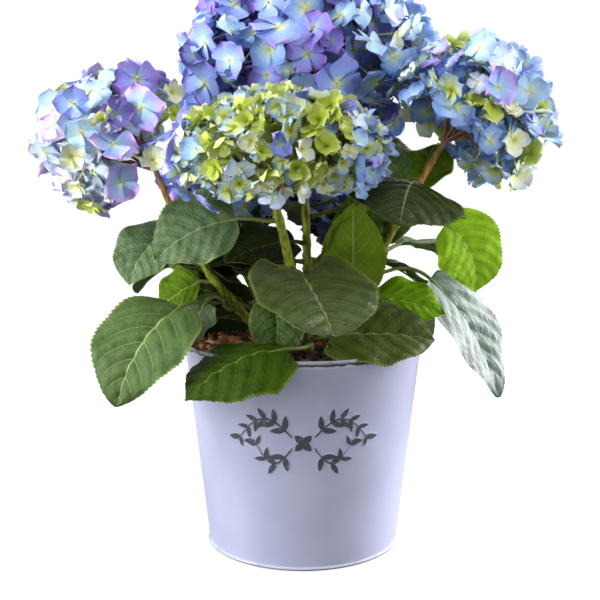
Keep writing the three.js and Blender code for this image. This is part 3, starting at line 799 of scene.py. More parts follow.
# %% Leaf table
LEAF_FIELDS = "cane share heading petiole rise turn length width pitch droop roll fold tone lobe"
PLAIN_LOBE = 0.06
Leaf = namedtuple("Leaf", LEAF_FIELDS, defaults=(PLAIN_LOBE,))
LEAVES = {
    "front_centre": Leaf("front", 0.58, -68, 18, 12, 0, 62, 86, -24, 14, 0, 9, "satin", 0.42),
    "front_left": Leaf("front", 0.92, 178, 26, 12, 12, 60, 56, -6, 40, -52, 9, "grey"),
    "front_hanging": Leaf("front", 0.40, -138, 25, 56, 50, 45, 38, -60, 18, 0, 9, "mid"),
    "shoot_left": Leaf("shoot", 0.52, -90, 28, 3, -66, 76, 88, 4, 50, -8, -6, "fresh"),
    "shoot_right": Leaf("shoot", 0.60, -22, 12, 20, 24, 70, 70, 6, 16, 30, 9, "olive", 0.16),
    "left_low": Leaf("left", 0.34, -124, 46, 18, -6, 84, 72, -15, 60, -15, 9, "mid"),
    "left_short": Leaf("left", 0.28, -130, 34, 66, 0, 32, 38, -46, 22, 0, 9, "grey"),
    "left_mid": Leaf("left", 0.76, -135, 8, 15, 0, 50, 46, -20, 50, -25, 9, "grey"),
    "left_shade": Leaf("left", 0.45, 172, 8, 15, 0, 38, 42, -20, 30, -45, 9, "moss"),
    "left_back": Leaf("left", 0.68, 95, 16, 15, 0, 56, 56, -15, 50, 0, 9, "mid"),
    "right_upper": Leaf("right", 0.84, -110, 10, 25, 6, 72, 82, 6, 52, -16, -9, "deep", 0.1),
    "right_behind": Leaf("right", 0.80, 118, 14, 40, 0, 62, 50, 42, 20, 0, 9, "mid"),
    "right_side": Leaf("right", 0.66, 5, 33, 30, 0, 56, 56, -35, 60, 70, 9, "bright"),
    "right_glow": Leaf("right", 0.27, -10, 9, 15, 0, 50, 42, 0, 25, 38, 9, "glow"),
    "right_hanging": Leaf("right", 0.40, 48, 50, 15, -54, 102, 57, -42, 35, 35, 9, "silver"),
    "right_back": Leaf("right", 0.52, 50, 20, 15, 0, 84, 60, 5, 45, 0, 9, "mid"),
    "centre_upright": Leaf("right", 0.26, 85, 14, 50, 0, 70, 44, 65, -10, 0, 9, "moss"),
    "top_left": Leaf("top", 0.30, 185, 28, 22, 0, 60, 46, 10, 45, -15, 9, "shade"),
    "top_high_left": Leaf("top", 0.66, 190, 26, 20, 0, 66, 48, 8, 45, 0, 9, "deep"),
    "back_right": Leaf("back", 0.45, 20, 26, 15, 0, 70, 60, -10, 46, 0, 9, "mid"),
    "back_low": Leaf("back", 0.45, 120, 26, 15, 0, 84, 62, -5, 50, 0, 9, "deep"),
    "back_far": Leaf("back", 0.80, 85, 12, 15, 0, 84, 64, -15, 45, 0, 9, "mid"),
    "back_side": Leaf("back", 0.80, 10, 20, 15, 0, 64, 56, -10, 45, 0, 9, "fresh"),
    "back_left_side": Leaf("back_left", 0.42, 190, 24, 15, 0, 74, 60, -5, 46, 0, 9, "mid"),
    "back_left_low": Leaf("back_left", 0.42, 125, 30, 15, 0, 84, 62, -10, 50, 0, 9, "fresh"),
    "back_left_high": Leaf("back_left", 0.80, 160, 14, 15, 0, 80, 60, -5, 45, 0, 9, "deep"),
}
# Smaller leaves among the stems, within the reach of those above
INNER_LEAVES = {
    "inner_dark_left": Leaf("top", 0.36, 182, 18, 15, 0, 80, 60, 8, 16, -18, 9, "shade"),
    "inner_dark_behind": Leaf("back_left", 0.30, 215, 12, 30, 0, 70, 56, 34, 10, 0, 9, "shade"),
    "inner_dark_centre": Leaf("top", 0.30, 200, 6, 25, 0, 56, 50, 22, 20, -40, 9, "shade"),
    "inner_dark_high": Leaf("top", 0.44, 215, 8, 20, 0, 60, 48, 4, 30, -30, 9, "shade"),
    "inner_rim_left": Leaf("back_left", 0.14, 165, 10, 20, 0, 60, 44, 10, 5, -62, 9, "shade"),
    "inner_upright": Leaf("top", 0.24, -30, 16, 50, 0, 66, 44, 58, 0, 0, 9, "fresh"),
    "inner_right": Leaf("right", 0.48, 80, 12, 40, 0, 60, 44, 50, 10, 0, 9, "mid"),
    "inner_low_left": Leaf("back_left", 0.26, 178, 16, 40, 0, 62, 46, 24, 16, -50, 9, "shade"),
    "inner_screen": Leaf("right", 0.22, -95, 8, 70, 0, 66, 46, 80, -8, 0, 9, "moss"),
    "inner_under_right": Leaf("right", 0.80, 66, 8, 35, 0, 46, 44, 44, 10, 0, 9, "moss"),
    "inner_low_right": Leaf("back", 0.18, 5, 20, 20, 0, 54, 46, 12, 20, 0, 9, "deep"),
    "inner_low_back": Leaf("back", 0.22, 95, 18, 20, 0, 66, 52, 12, 30, 0, 9, "mid"),
    "inner_top_right": Leaf("top", 0.56, 5, 18, 20, 0, 62, 48, 10, 40, 0, 9, "deep"),
    "inner_top_back": Leaf("top", 0.60, 85, 14, 20, 0, 62, 50, 0, 45, 0, 9, "mid"),
}
print(len(CANES), "canes,", len(LEAVES), "leaves and", len(INNER_LEAVES), "smaller ones")

# %% Cane shapes and bark
NODE_SWELL = 0.25
NODE_LENGTH = 0.022
RIB_DEPTH = 0.05
BARK_ROUGH = 0.07
BARK_ROUGH_SCALE = 0.35
CANE_RIBS = 4
FOOT_FLARE = 1.1
BUD_LENGTH = 4.6
BUD_HALF = 1.35
BUD_POINT = 0.45
BUD_LEAN = 0.55
BUD_SEAT = 0.9
BUD_LIFT = 4.0

bark = Finish("cane_bark", 0.62, shine=0.15)
place = bark.place()
across_cane, up_cane = bark.split(place)[::2]
streak_place = bark.node("Mapping", {"Vector": place, "Scale": (1.0, 1.0, 0.22)})
streak = bark.step(bark.noise(streak_place, 420.0, 4.0), 0.35, 0.68)
green_part = bark.mix(streak, paint("606a16"), paint("949c36"))
woody_part = bark.mix(streak, paint("47441a"), paint("6c682a"))
red_part = bark.mix(streak, paint("8a6430"), paint("bd9050"))
tint = bark.noise(place, 22.0, 2.0)
ripening = bark.step(bark.plus(up_cane, bark.times(tint, 0.05)), 0.15, 0.20)
skin = bark.mix(ripening, woody_part, green_part)
outer = bark.times(bark.math("ABSOLUTE", across_cane), 0.25)
up_skin = bark.plus(bark.plus(up_cane, outer), bark.times(tint, 0.03))
skin = bark.mix(bark.step(up_skin, 0.262, 0.29), skin, red_part)
cork_place = bark.node("Mapping", {"Vector": place, "Scale": (1.0, 1.0, 0.5)})
corky = bark.step(bark.noise(cork_place, 700.0, 1.0), 0.68, 0.75)
bark.colour(bark.mix(bark.times(corky, 0.5), skin, paint("a89468")))
bark.bump(bark.plus(bark.times(streak, 0.6), corky), 0.0003)


def leaf_seat(leaf):
    """A leaf's place on its cane, the cane's heading there, and the way out that is square to it."""
    tangent = cane_heading(leaf.cane, leaf.share)
    heading = heading_vector(math.radians(leaf.heading))
    outward = (heading - tangent * heading.dot(tangent)).normalized()
    return cane_point(leaf.cane, leaf.share), tangent, outward


for name in CANES:
    cane_bm = bmesh.new()
    borne = [leaf for leaf in (*LEAVES.values(), *INNER_LEAVES.values()) if leaf.cane == name]
    nodes_at = sorted({leaf.share for leaf in borne})
    foot_heading = cane_heading(name, 0.0)
    foot = cane_point(name, 0.0) - foot_heading * CANE_SUNK
    stations = [(foot, foot_heading, cane_radius(name, 0.0) * FOOT_FLARE)]
    for number in range(CANE_STATIONS + 1):
        share = number / CANE_STATIONS
        swell = max((math.exp(-(((share - at) / NODE_LENGTH) ** 2)) for at in nodes_at), default=0.0)
        radius = cane_radius(name, share) * (1 + NODE_SWELL * swell)
        stations.append((cane_point(name, share), cane_heading(name, share), radius))
    for order, vert in enumerate(grow_tube(cane_bm, stations, CANE_SIDES)):
        centre = stations[order // CANE_SIDES][0]
        rib = RIB_DEPTH * math.cos(math.tau * CANE_RIBS * (order % CANE_SIDES) / CANE_SIDES)
        rough = BARK_ROUGH * noise.noise(vert.co * BARK_ROUGH_SCALE)
        vert.co = centre + (vert.co - centre) * (1 + rib + rough)
    for leaf in borne:
        at, tangent, outward = leaf_seat(leaf)
        bud_axis = (tangent + outward * BUD_LEAN).normalized()
        seat = at + outward * cane_radius(name, leaf.share) * BUD_SEAT + tangent * BUD_LIFT
        bud = bmesh.ops.create_uvsphere(cane_bm, u_segments=8, v_segments=6, radius=1.0)["verts"]
        for vert in bud:
            slim = BUD_HALF * (1 - BUD_POINT * max(vert.co.z, 0.0))
            vert.co = (vert.co.x * slim, vert.co.y * slim, vert.co.z * BUD_LENGTH / 2)
        lay = Matrix.LocRotScale(seat, bud_axis.to_track_quat("Z", "X"), None)
        bmesh.ops.transform(cane_bm, matrix=lay, verts=bud)
    add_piece(f"stem_{name}", mesh_from(cane_bm, f"stem_{name}"), [bark], "cane_bark", f"cane_{name}")

# %% [markdown]
# ## Leaf finishes
#
# A hydrangea leaf is a broad oval with fine forward teeth, a pale midrib and arching side veins, and it
# bulges between them like a quilt. The same formula draws the veins in colour and raises the quilting, so
# both read shares along and across the blade from the leaf's own map. The underside is paler and duller,
# and sits in the map's upper half.

# %% Leaf finishes
VEIN_PAIRS = 6.5
VEIN_LEAN = 0.24
VEIN_SWEEP = 0.16
VEIN_SPREAD = 0.6
TOP_STRIP = 0.235
UNDER_STRIP = 0.765
STALK_STRIP = 0.5
HALF_STRIP = 0.228
STALK_HALF_STRIP = 0.025
Tone = namedtuple("Tone", "dark light vein margin under gloss shine")
TONES = {
    "deep": Tone("1a250c", "334218", "7c8c56", "626f30", "4a592c", 0.38, 0.12),
    "olive": Tone("2c3a10", "4c5f20", "82925a", "6b7834", "4f5f2e", 0.40, 0.14),
    "satin": Tone("2c3a14", "4d6027", "9aaa6e", "7f8c42", "566633", 0.47, 0.4),
    "mid": Tone("395022", "536d34", "a6b574", "8c9c4e", "6c7f45", 0.5, 0.18),
    "fresh": Tone("213404", "364c07", "64792a", "5f7322", "566a22", 0.44, 0.06),
    "moss": Tone("3a5206", "5a780e", "9cb04c", "7c9426", "5f7a18", 0.5, 0.04),
    # Painted light: glow and bright are leaves lit through from behind
    "glow": Tone("5a8806", "82b018", "b9d070", "a2be34", "8fb81f", 0.5, 0.05),
    "bright": Tone("6c9a0a", "94c022", "c4da7c", "a8c440", "94bc2e", 0.5, 0.05),
    # Painted reflection: the silver sheen of bright surroundings on a glossy leaf
    "silver": Tone("5a6c62", "8b9991", "4a5d52", "9aa694", "7c8c7a", 0.42, 0.36),
    "grey": Tone("3a4e30", "627a4e", "93a47c", "84944f", "687a54", 0.44, 0.26),
    "shade": Tone("1b2410", "2e3a18", "66702f", "5a632a", "2f381a", 0.5, 0.1),
}


def vein_nearness(finish, along, side):
    """1 on a side vein and 0 midway between two, by the same rule that raises the quilting."""
    sweep = finish.plus(finish.times(side, VEIN_SWEEP), VEIN_LEAN)
    bulge = finish.times(finish.times(along, finish.rest(along)), 4.0)
    spread = finish.math("POWER", finish.math("MAXIMUM", bulge, 0.0), VEIN_SPREAD)
    lean = finish.times(finish.times(side, spread), sweep)
    phase = finish.times(finish.minus(along, lean), VEIN_PAIRS)
    wave = finish.minus(finish.math("FRACT", phase), 0.5)
    return finish.times(finish.math("ABSOLUTE", wave), 2.0)


def blade_finish(name, tone, strip, dark, light, roughness):
    """One face of a blade: mottled green with veins, painted light and shade on the quilting, and a paler
    margin.
    """
    blade = Finish(name, roughness, shine=tone.shine)
    along, across = blade.own_map()
    across = blade.math("DIVIDE", blade.minus(across, strip), HALF_STRIP)
    side = blade.math("ABSOLUTE", across)
    near = vein_nearness(blade, along, side)
    flat_place = blade.node("CombineXYZ", {"X": along, "Y": blade.times(across, 0.42)})
    mottle = blade.noise(flat_place, 7.0, 2.0)
    crest_light = blade.rest(near)
    # Painted light and shade: the quilted crests between side veins are lighter, the vein grooves darker
    share = blade.plus(blade.times(crest_light, 0.32), blade.times(mottle, 0.85))
    green = blade.mix(blade.step(share, 0.2, 0.95), paint(dark), paint(light))
    net = blade.node("TexVoronoi", {"Vector": flat_place, "Scale": 34.0}, feature="DISTANCE_TO_EDGE")
    net_line = blade.rest(blade.step(net, 0.0, 0.07))
    green = blade.mix(blade.times(net_line, 0.08), green, paint(tone.vein))
    fade = blade.rest(blade.step(side, 0.4, 0.95))
    vein = blade.times(blade.step(near, 0.9, 0.97), blade.plus(fade, 0.12))
    green = blade.mix(blade.times(vein, 0.3), green, paint(tone.vein))
    thin = blade.plus(0.014, blade.times(blade.rest(along), 0.022))
    rib = blade.rest(blade.math("DIVIDE", side, thin))
    green = blade.mix(blade.times(blade.step(rib, 0.0, 0.5), 0.85), green, paint(tone.vein))
    green = blade.mix(blade.times(blade.step(side, 0.93, 1.0), 0.7), green, paint(tone.margin))
    blade.colour(green)
    pad = blade.times(blade.step(net, 0.0, 0.4), 0.6)
    grain = blade.plus(pad, blade.times(blade.noise(flat_place, 120.0, 2.0), 0.15))
    ripple = blade.times(blade.noise(flat_place, 14.0, 2.0), 4.0)
    blade.bump(blade.plus(grain, ripple), 0.0005, 0.5)
    return blade


stalk_finish = Finish("leaf_stalk", 0.5, shine=0.2)
stalk_along = stalk_finish.own_map()[0]
stalk_tint = [(0.0, paint("524c20")), (0.12, paint("5b6a2b")), (0.5, paint("728540")), (1.0, paint("8d9f58"))]
stalk_finish.colour(stalk_finish.ramp(stalk_along, stalk_tint))
leaf_finishes = {}
for name, tone in TONES.items():
    top = blade_finish(f"leaf_{name}", tone, TOP_STRIP, tone.dark, tone.light, tone.gloss)
    under = blade_finish(f"leaf_{name}_under", tone, UNDER_STRIP, tone.under, tone.under, 0.62)
    leaf_finishes[name] = [top, under, stalk_finish]
print("leaf tones", list(TONES))

# %% [markdown]
# ## Leaf rule
#
# A blade starts as a flat grid. Each column of points is carried to its station on the drooping midrib,
# spread to the outline with a saw of fine teeth at the margin, and lifted by the quilting. Solidify then
# gives it a thickness and an underside, and a stalk is grown along the same line and on under the blade as
# its raised midrib.

# %% Leaf rule
PETIOLE_HALF = 1.9
RIB_TAPER = 0.8
TURNED_BY = 0.35
WIDEST_AT = 0.42
FULLNESS = 1.45
TEETH = 31
TOOTH_STEPS = 3
BLADE_ACROSS = 20
TOOTH_DEPTH = 0.022
QUILT_LIFT = 0.019
RIB_GROOVE = 1.1
MARGIN_WAVE = 1.7
EDGE_CURL = 0.07
BLADE_THICKNESS = 0.45
STALK_SIDES = 8
STALK_STEPS = 34
STALK_RADII = (1.4, 0.35)
STALK_FOOT = 2.1
STALK_SUNK = 2.2
CLASP = 0.75
CLASP_LENGTH = 3.0
RIB_REACH = 0.88
RIB_BURIED = 0.35
RIB_DIP = 6
GROOVE_HALF = 2.4
GROOVE_END = 8
LOBE_FADE = 3
LOBE_START = 0.05
TOOTH_FADE = 7
QUILT_ENDS = (5, 6)
QUILT_CREST = 2.4
QUILT_EDGE = 0.4
MARGIN_WAVES = 2.6
MARGIN_SHIFT = 2.1
MARGIN_TURN = 1.7
BUCKLE = 0.9
BUCKLE_SCALE = (5, 2.5, 3.1)


def leaf_start(leaf):
    """Where a leaf leaves its cane, and the way it sets out."""
    at, _, outward = leaf_seat(leaf)
    return at + outward * (cane_radius(leaf.cane, leaf.share) + SEAT_GAP), outward


def leaf_heading(leaf, leaving, distance):
    """Bearing and pitch, in degrees, at a distance along stalk and blade."""
    on_petiole = min(distance / leaf.petiole, 1.0)
    on_blade = max((distance - leaf.petiole) / leaf.length, 0.0)
    start = blend(leaving, leaf.rise, min(on_petiole / TURNED_BY, 1.0))
    late = max((on_petiole - TURNED_BY) / (1 - TURNED_BY), 0.0)
    return leaf.heading + leaf.turn * on_petiole, blend(start, leaf.pitch, late) - leaf.droop * on_blade


def leaf_frames(leaf, distances):
    """Point, heading, side and upper side at rising distances from the cane."""
    point, outward = leaf_start(leaf)
    leaving = math.degrees(math.asin(outward.z))
    travelled = 0.0
    frames = []
    for distance in distances:
        steps = max(1, math.ceil(distance - travelled))
        for number in range(steps):
            middle = travelled + (distance - travelled) * (number + 0.5) / steps
            bearing, pitch = map(math.radians, leaf_heading(leaf, leaving, middle))
            point = point + heading_vector(bearing, pitch) * (distance - travelled) / steps
        travelled = distance
        bearing, pitch = map(math.radians, leaf_heading(leaf, leaving, distance))
        ahead = heading_vector(bearing, pitch)
        roll = math.radians(leaf.roll * min(distance / leaf.petiole, 1.0))
        side = Quaternion(ahead, roll) @ Vector((math.sin(bearing), -math.cos(bearing), 0.0))
        frames.append((point.copy(), ahead, side, side.cross(ahead)))
    return frames


def blade_outline(share, lobe):
    """Half width of the blade along its length, 1 at its widest. A lobed leaf is rounder."""
    power = FULLNESS - lobe
    rise = WIDEST_AT * power
    fall = (1 - WIDEST_AT) * power
    peak = WIDEST_AT ** rise * (1 - WIDEST_AT) ** fall
    return share ** rise * (1 - share) ** fall / peak


def quilt(along, side):
    """Height of the bulge between two side veins, as a share of its most."""
    spread = (4 * along * (1 - along)) ** VEIN_SPREAD
    phase = (along - side * spread * (VEIN_LEAN + VEIN_SWEEP * side)) * VEIN_PAIRS
    near = abs(phase % 1.0 - 0.5) * 2
    ends = min(1.0, QUILT_ENDS[0] * along, QUILT_ENDS[1] * (1 - along))
    return (1 - near ** QUILT_CREST) * ends * (1 - QUILT_EDGE * side ** 4)


def grow_leaf(name, leaf, seed):
    """Blade, underside and stalk of one leaf, as one piece."""
    bm = bmesh.new()
    along_layer = bm.verts.layers.float.new("along")
    across_layer = bm.verts.layers.float.new("across")
    stations = TEETH * TOOTH_STEPS
    grid = bmesh.ops.create_grid(bm, x_segments=stations, y_segments=BLADE_ACROSS, size=1.0)["verts"]
    rows = [leaf.petiole + leaf.length * number / stations for number in range(stations + 1)]
    frames = leaf_frames(leaf, rows)
    fold = math.radians(leaf.fold)
    phase = seed * MARGIN_TURN
    for vert in grid:
        station = round((vert.co.x + 1) / 2 * stations)
        share = station / stations
        across = -vert.co.y
        side_share = abs(across)
        half = max(PETIOLE_HALF * (1 - RIB_TAPER * share), blade_outline(share, leaf.lobe) * leaf.width / 2)
        tooth = (station % TOOTH_STEPS) / (TOOTH_STEPS - 1) - 0.5
        depth = TOOTH_DEPTH * leaf.width * math.sqrt(math.sin(math.pi * share))
        reach = side_share * half + tooth * depth * side_share ** TOOTH_FADE
        point, ahead, side, upper = frames[station]
        lift = reach * math.sin(fold) - EDGE_CURL * half * side_share ** 3
        lift += QUILT_LIFT * leaf.width * quilt(share, side_share)
        lift -= RIB_GROOVE * math.exp(-((reach / GROOVE_HALF) ** 2)) * min(1.0, GROOVE_END * (1 - share))
        wave = math.sin(math.tau * MARGIN_WAVES * share + phase + (across > 0) * MARGIN_SHIFT)
        lift += MARGIN_WAVE * side_share ** 3 * wave
        lift += BUCKLE * noise.noise(Vector([a * b for a, b in zip((share, across, seed), BUCKLE_SCALE)]))
        back = side_share * leaf.lobe * leaf.length * (1 - share) ** LOBE_FADE * min(1.0, share / LOBE_START)
        vert.co = point - ahead * back + side * math.copysign(reach * math.cos(fold), across) + upper * lift
        vert[along_layer] = share
        vert[across_layer] = across
    bm.normal_update()
    made = bmesh.ops.solidify(bm, geom=bm.faces[:], thickness=BLADE_THICKNESS)["geom"]
    for item in made:
        if isinstance(item, bmesh.types.BMFace):
            item.material_index = 1
    blade_faces = set(bm.faces)
    start, outward = leaf_start(leaf)
    stalk_length = leaf.petiole + RIB_REACH * leaf.length
    distances = [stalk_length * number / STALK_STEPS for number in range(STALK_STEPS + 1)]
    tube = [(start - outward * STALK_SUNK, outward, STALK_FOOT)]
    for distance, (point, ahead, side, upper) in zip(distances, leaf_frames(leaf, distances)):
        on_blade = max(0.0, distance - leaf.petiole) / (RIB_REACH * leaf.length)
        clasp = CLASP * math.exp(-distance / CLASP_LENGTH)
        radius = blend(*STALK_RADII, on_blade) + clasp
        sunk = min(1.0, RIB_DIP * on_blade) * (RIB_GROOVE + RIB_BURIED * radius)
        tube.append((point - upper * sunk, ahead, radius))
    stalk = grow_tube(bm, tube, STALK_SIDES)
    for order, vert in enumerate(stalk):
        vert[along_layer] = (order // STALK_SIDES) / (len(tube) - 1)
        vert[across_layer] = math.cos(math.tau * (order % STALK_SIDES) / STALK_SIDES)
    uv_layer = bm.loops.layers.uv.new(UV_NAME)
    strips = ((TOP_STRIP, HALF_STRIP), (UNDER_STRIP, HALF_STRIP), (STALK_STRIP, STALK_HALF_STRIP))
    for face in bm.faces:
        if face not in blade_faces:
            face.material_index = 2
        middle, half_strip = strips[face.material_index]
        for loop in face.loops:
            loop[uv_layer].uv = (loop.vert[along_layer], middle + half_strip * loop.vert[across_layer])
    return mesh_from(bm, name, 50)


for seed, (name, leaf) in enumerate({**LEAVES, **INNER_LEAVES}.items()):
    nodes = [f"leaf_{name}"] if name in LEAVES else []
    blade_mesh = grow_leaf(f"blade_{name}", leaf, seed)
    add_piece(f"blade_{name}", blade_mesh, leaf_finishes[leaf.tone], "leaf_green", *nodes)

# %% [markdown]
# ## Sepals
#
# What looks like a petal is a sepal: four broad, overlapping ones round a bead-like eye. Young florets are
# small, cupped and lime, older ones open flat and turn sky blue, periwinkle, violet or lilac from the rim
# inwards. Each hue is a finish of its own that runs from eye to edge along the sepal, and every floret is
# dealt one of them.

# %% Sepal hues
Hue = namedtuple("Hue", "eye heart body edge")
HUES = {
    "lilac": Hue("d8e6b0", "a4ccfa", "b8b8f8", "d8aef0"),
    "pink": Hue("e0eab8", "d6d8f8", "e2caf2", "ead0f4"),
    "sky": Hue("eef4bc", "cceafa", "b6daf8", "b4c6f4"),
    "pale": Hue("ecf2be", "e0f0f6", "d2e4f8", "d2d6f8"),
    "periwinkle": Hue("e2e8a0", "9abaf2", "8ca0ec", "a294e4"),
    "blue": Hue("dce68c", "b4d2dc", "8cb0e6", "7d98dc"),
    "violet": Hue("acb68a", "8590da", "8678ce", "9c74cc"),
    "cream": Hue("ccce58", "eef2b4", "eef4d8", "dce8f4"),
    "lime": Hue("7c8a16", "b4c832", "c4d456", "dae2a0"),
    "lime_blue": Hue("98a42c", "ccd86a", "c2d8ca", "94b0e6"),
    # shade and dusk are painted shade, for florets deep in a head and on its underside
    "shade": Hue("7f8a50", "6f7ea6", "6272b4", "6f68b0"),
    "moss": Hue("6a7424", "9aaa38", "acbc4c", "b4c47a"),
    "dusk": Hue("3a4024", "3c4664", "364068", "403e64"),
}
HUE_NAMES = list(HUES)


def sepal_finish(name, hue):
    """Eye to edge colours along the sepal, with fine veins and a little unevenness."""
    sepal = Finish(f"sepal_{name}", 0.6)
    along, strip = sepal.own_map()
    local = sepal.math("FRACT", sepal.times(strip, float(len(HUES))))
    across = sepal.times(sepal.minus(local, 0.5), 2.0 / STRIP_USED)
    side = sepal.math("ABSOLUTE", across)
    flat_place = sepal.node("CombineXYZ", {"X": along, "Y": across})
    uneven = sepal.times(sepal.minus(sepal.noise(flat_place, 3.5, 3.0), 0.5), 0.35)
    outward = sepal.plus(along, sepal.times(sepal.times(side, side), 0.16))
    outward = sepal.plus(outward, sepal.times(uneven, along))
    stops = [(0.06, paint(hue.eye)), (0.3, paint(hue.heart)), (0.62, paint(hue.body)), (1.0, paint(hue.edge))]
    colour = sepal.ramp(outward, stops)
    fan = sepal.math("ABSOLUTE", sepal.math("SINE", sepal.times(across, 12.5)))
    vein = sepal.times(sepal.step(fan, 0.9, 1.0), sepal.step(along, 0.1, 0.35))
    deeper = sepal.mix(1.0, colour, (0.78, 0.76, 0.9, 1.0), "MULTIPLY")
    sepal.colour(sepal.mix(sepal.times(vein, 0.2), colour, deeper))
    relief = sepal.plus(sepal.times(fan, 0.12), sepal.noise(flat_place, 4.0, 3.0))
    sepal.bump(relief, 0.0012, 0.6)
    return sepal


sepal_finishes = [sepal_finish(name, hue) for name, hue in HUES.items()]
print("hues", HUE_NAMES)

# %% [markdown]
# ## Floret shapes
#
# A floret is four grids of a few faces, each drawn to a sepal's outline and turned a quarter round the eye.
# The sepals tilt so that each lies over the next one. Four forms cover the ages seen on the plant, each in
# a few seeded variants: open and flat, wavy with rims turned back, half cupped, and a young tight bowl.

# %% Floret shapes
Form = namedtuple("Form", "lift cup ripple wide")
FORMS = {
    "open": Form(0.14, 0.06, 0.10, 0.65),
    "wavy": Form(0.02, -0.04, 0.18, 0.67),
    "cup": Form(0.46, 0.20, 0.09, 0.63),
    "bowl": Form(0.86, 0.34, 0.05, 0.64),
}
VARIANTS = 6
SEPAL_ALONG = 4
SEPAL_ACROSS = 4
SEPAL_TILT = 12
SEPAL_CREASE = 0.10
SEPAL_CRUMPLE = 0.07
SEPAL_SIZES = (0.8, 1.1)
LIFT_CHANCE = 0.1
LOPSIDED_CHANCE = 0.12
TILT_CHANCE = 5
TURN_CHANCE = 11
EDGE_ROUND = 0.12
EDGE_NIBBLE = 0.05
EDGE_FRAY = 0.08
LIFT_POWER = 1.4
TIP_DROP = 0.10
RIPPLES = 2.7
RIPPLE_DRIFT = 2.0
RIPPLE_POWER = 1.6
EYE_RADIUS = 0.085
EYE_LIFT = 0.05
EYE_MARK = 0.01
OUTLINE = ((0.0, 0.10), (0.28, 0.66), (0.54, 1.0), (0.80, 0.70), (1.0, 0.05))


def add_sepal(bm, layers, form, turn, size):
    """One sepal of unit length, drawn from a grid, creased, crumpled and turned to its quarter."""
    grid = bmesh.ops.create_grid(bm, x_segments=SEPAL_ALONG, y_segments=SEPAL_ACROSS, size=1.0)["verts"]
    ripple_at = dice.uniform(0, math.tau)
    lift = form.lift + dice.uniform(-LIFT_CHANCE, LIFT_CHANCE)
    lopsided = dice.uniform(-LOPSIDED_CHANCE, LOPSIDED_CHANCE)
    for vert in grid:
        station, spread = OUTLINE[round((vert.co.x + 1) / 2 * SEPAL_ALONG)]
        across = vert.co.y
        edge = abs(across) ** 3 * station
        length = station * (1 - EDGE_ROUND * across * across * station)
        length += EDGE_NIBBLE * edge * dice.uniform(-1, 1)
        wide = form.wide * spread * (1 + lopsided * across + EDGE_FRAY * edge * dice.uniform(-1, 1))
        rise = lift * station ** LIFT_POWER + form.cup * across * across * station
        wave = math.sin(RIPPLES * math.pi * across + ripple_at + RIPPLE_DRIFT * station)
        rise += form.ripple * wave * station ** RIPPLE_POWER
        rise -= TIP_DROP * station ** 4 + SEPAL_CREASE * (1 - abs(across)) * station
        rise += SEPAL_CRUMPLE * station * dice.uniform(-1, 1)
        vert.co = Vector((size * length, size * wide * across, size * rise))
        vert[layers[0]] = station
        vert[layers[1]] = across
    tilt = Matrix.Rotation(math.radians(SEPAL_TILT + dice.uniform(-TILT_CHANCE, TILT_CHANCE)), 4, "X")
    bmesh.ops.transform(bm, matrix=Matrix.Rotation(turn, 4, "Z") @ tilt, verts=grid)


def floret_shape(form):
    """Four sepals and the eye of one floret, facing up, with a reach of 1."""
    bm = bmesh.new()
    layers = [bm.verts.layers.float.new("along"), bm.verts.layers.float.new("across")]
    for quarter in range(4):
        turn = math.radians(90 * quarter + dice.uniform(-TURN_CHANCE, TURN_CHANCE))
        add_sepal(bm, layers, form, turn, dice.uniform(*SEPAL_SIZES))
    eye = bmesh.ops.create_uvsphere(bm, u_segments=4, v_segments=3, radius=EYE_RADIUS)["verts"]
    bmesh.ops.translate(bm, vec=(0, 0, EYE_LIFT), verts=eye)
    for vert in eye:
        vert[layers[0]] = EYE_MARK
    return prototype_from(bm, "along", "across")


form_names = list(FORMS)
floret_shapes = [floret_shape(FORMS[name]) for name in form_names for variant in range(VARIANTS)]
print(len(floret_shapes), "floret shapes of", len(floret_shapes[0][1]), "faces")

# %% [markdown]
# ## Flower heads
#
# A head is a dome of florets on stalks that fork from the cane's tip. The rule spreads directions by the
# golden angle from the head's pole down past its equator. The florets that show most are placed first:
# each row gives the pixel where its eye shows, its reach in pixels, its hue and its form, and the rule
# fills what is left between them.

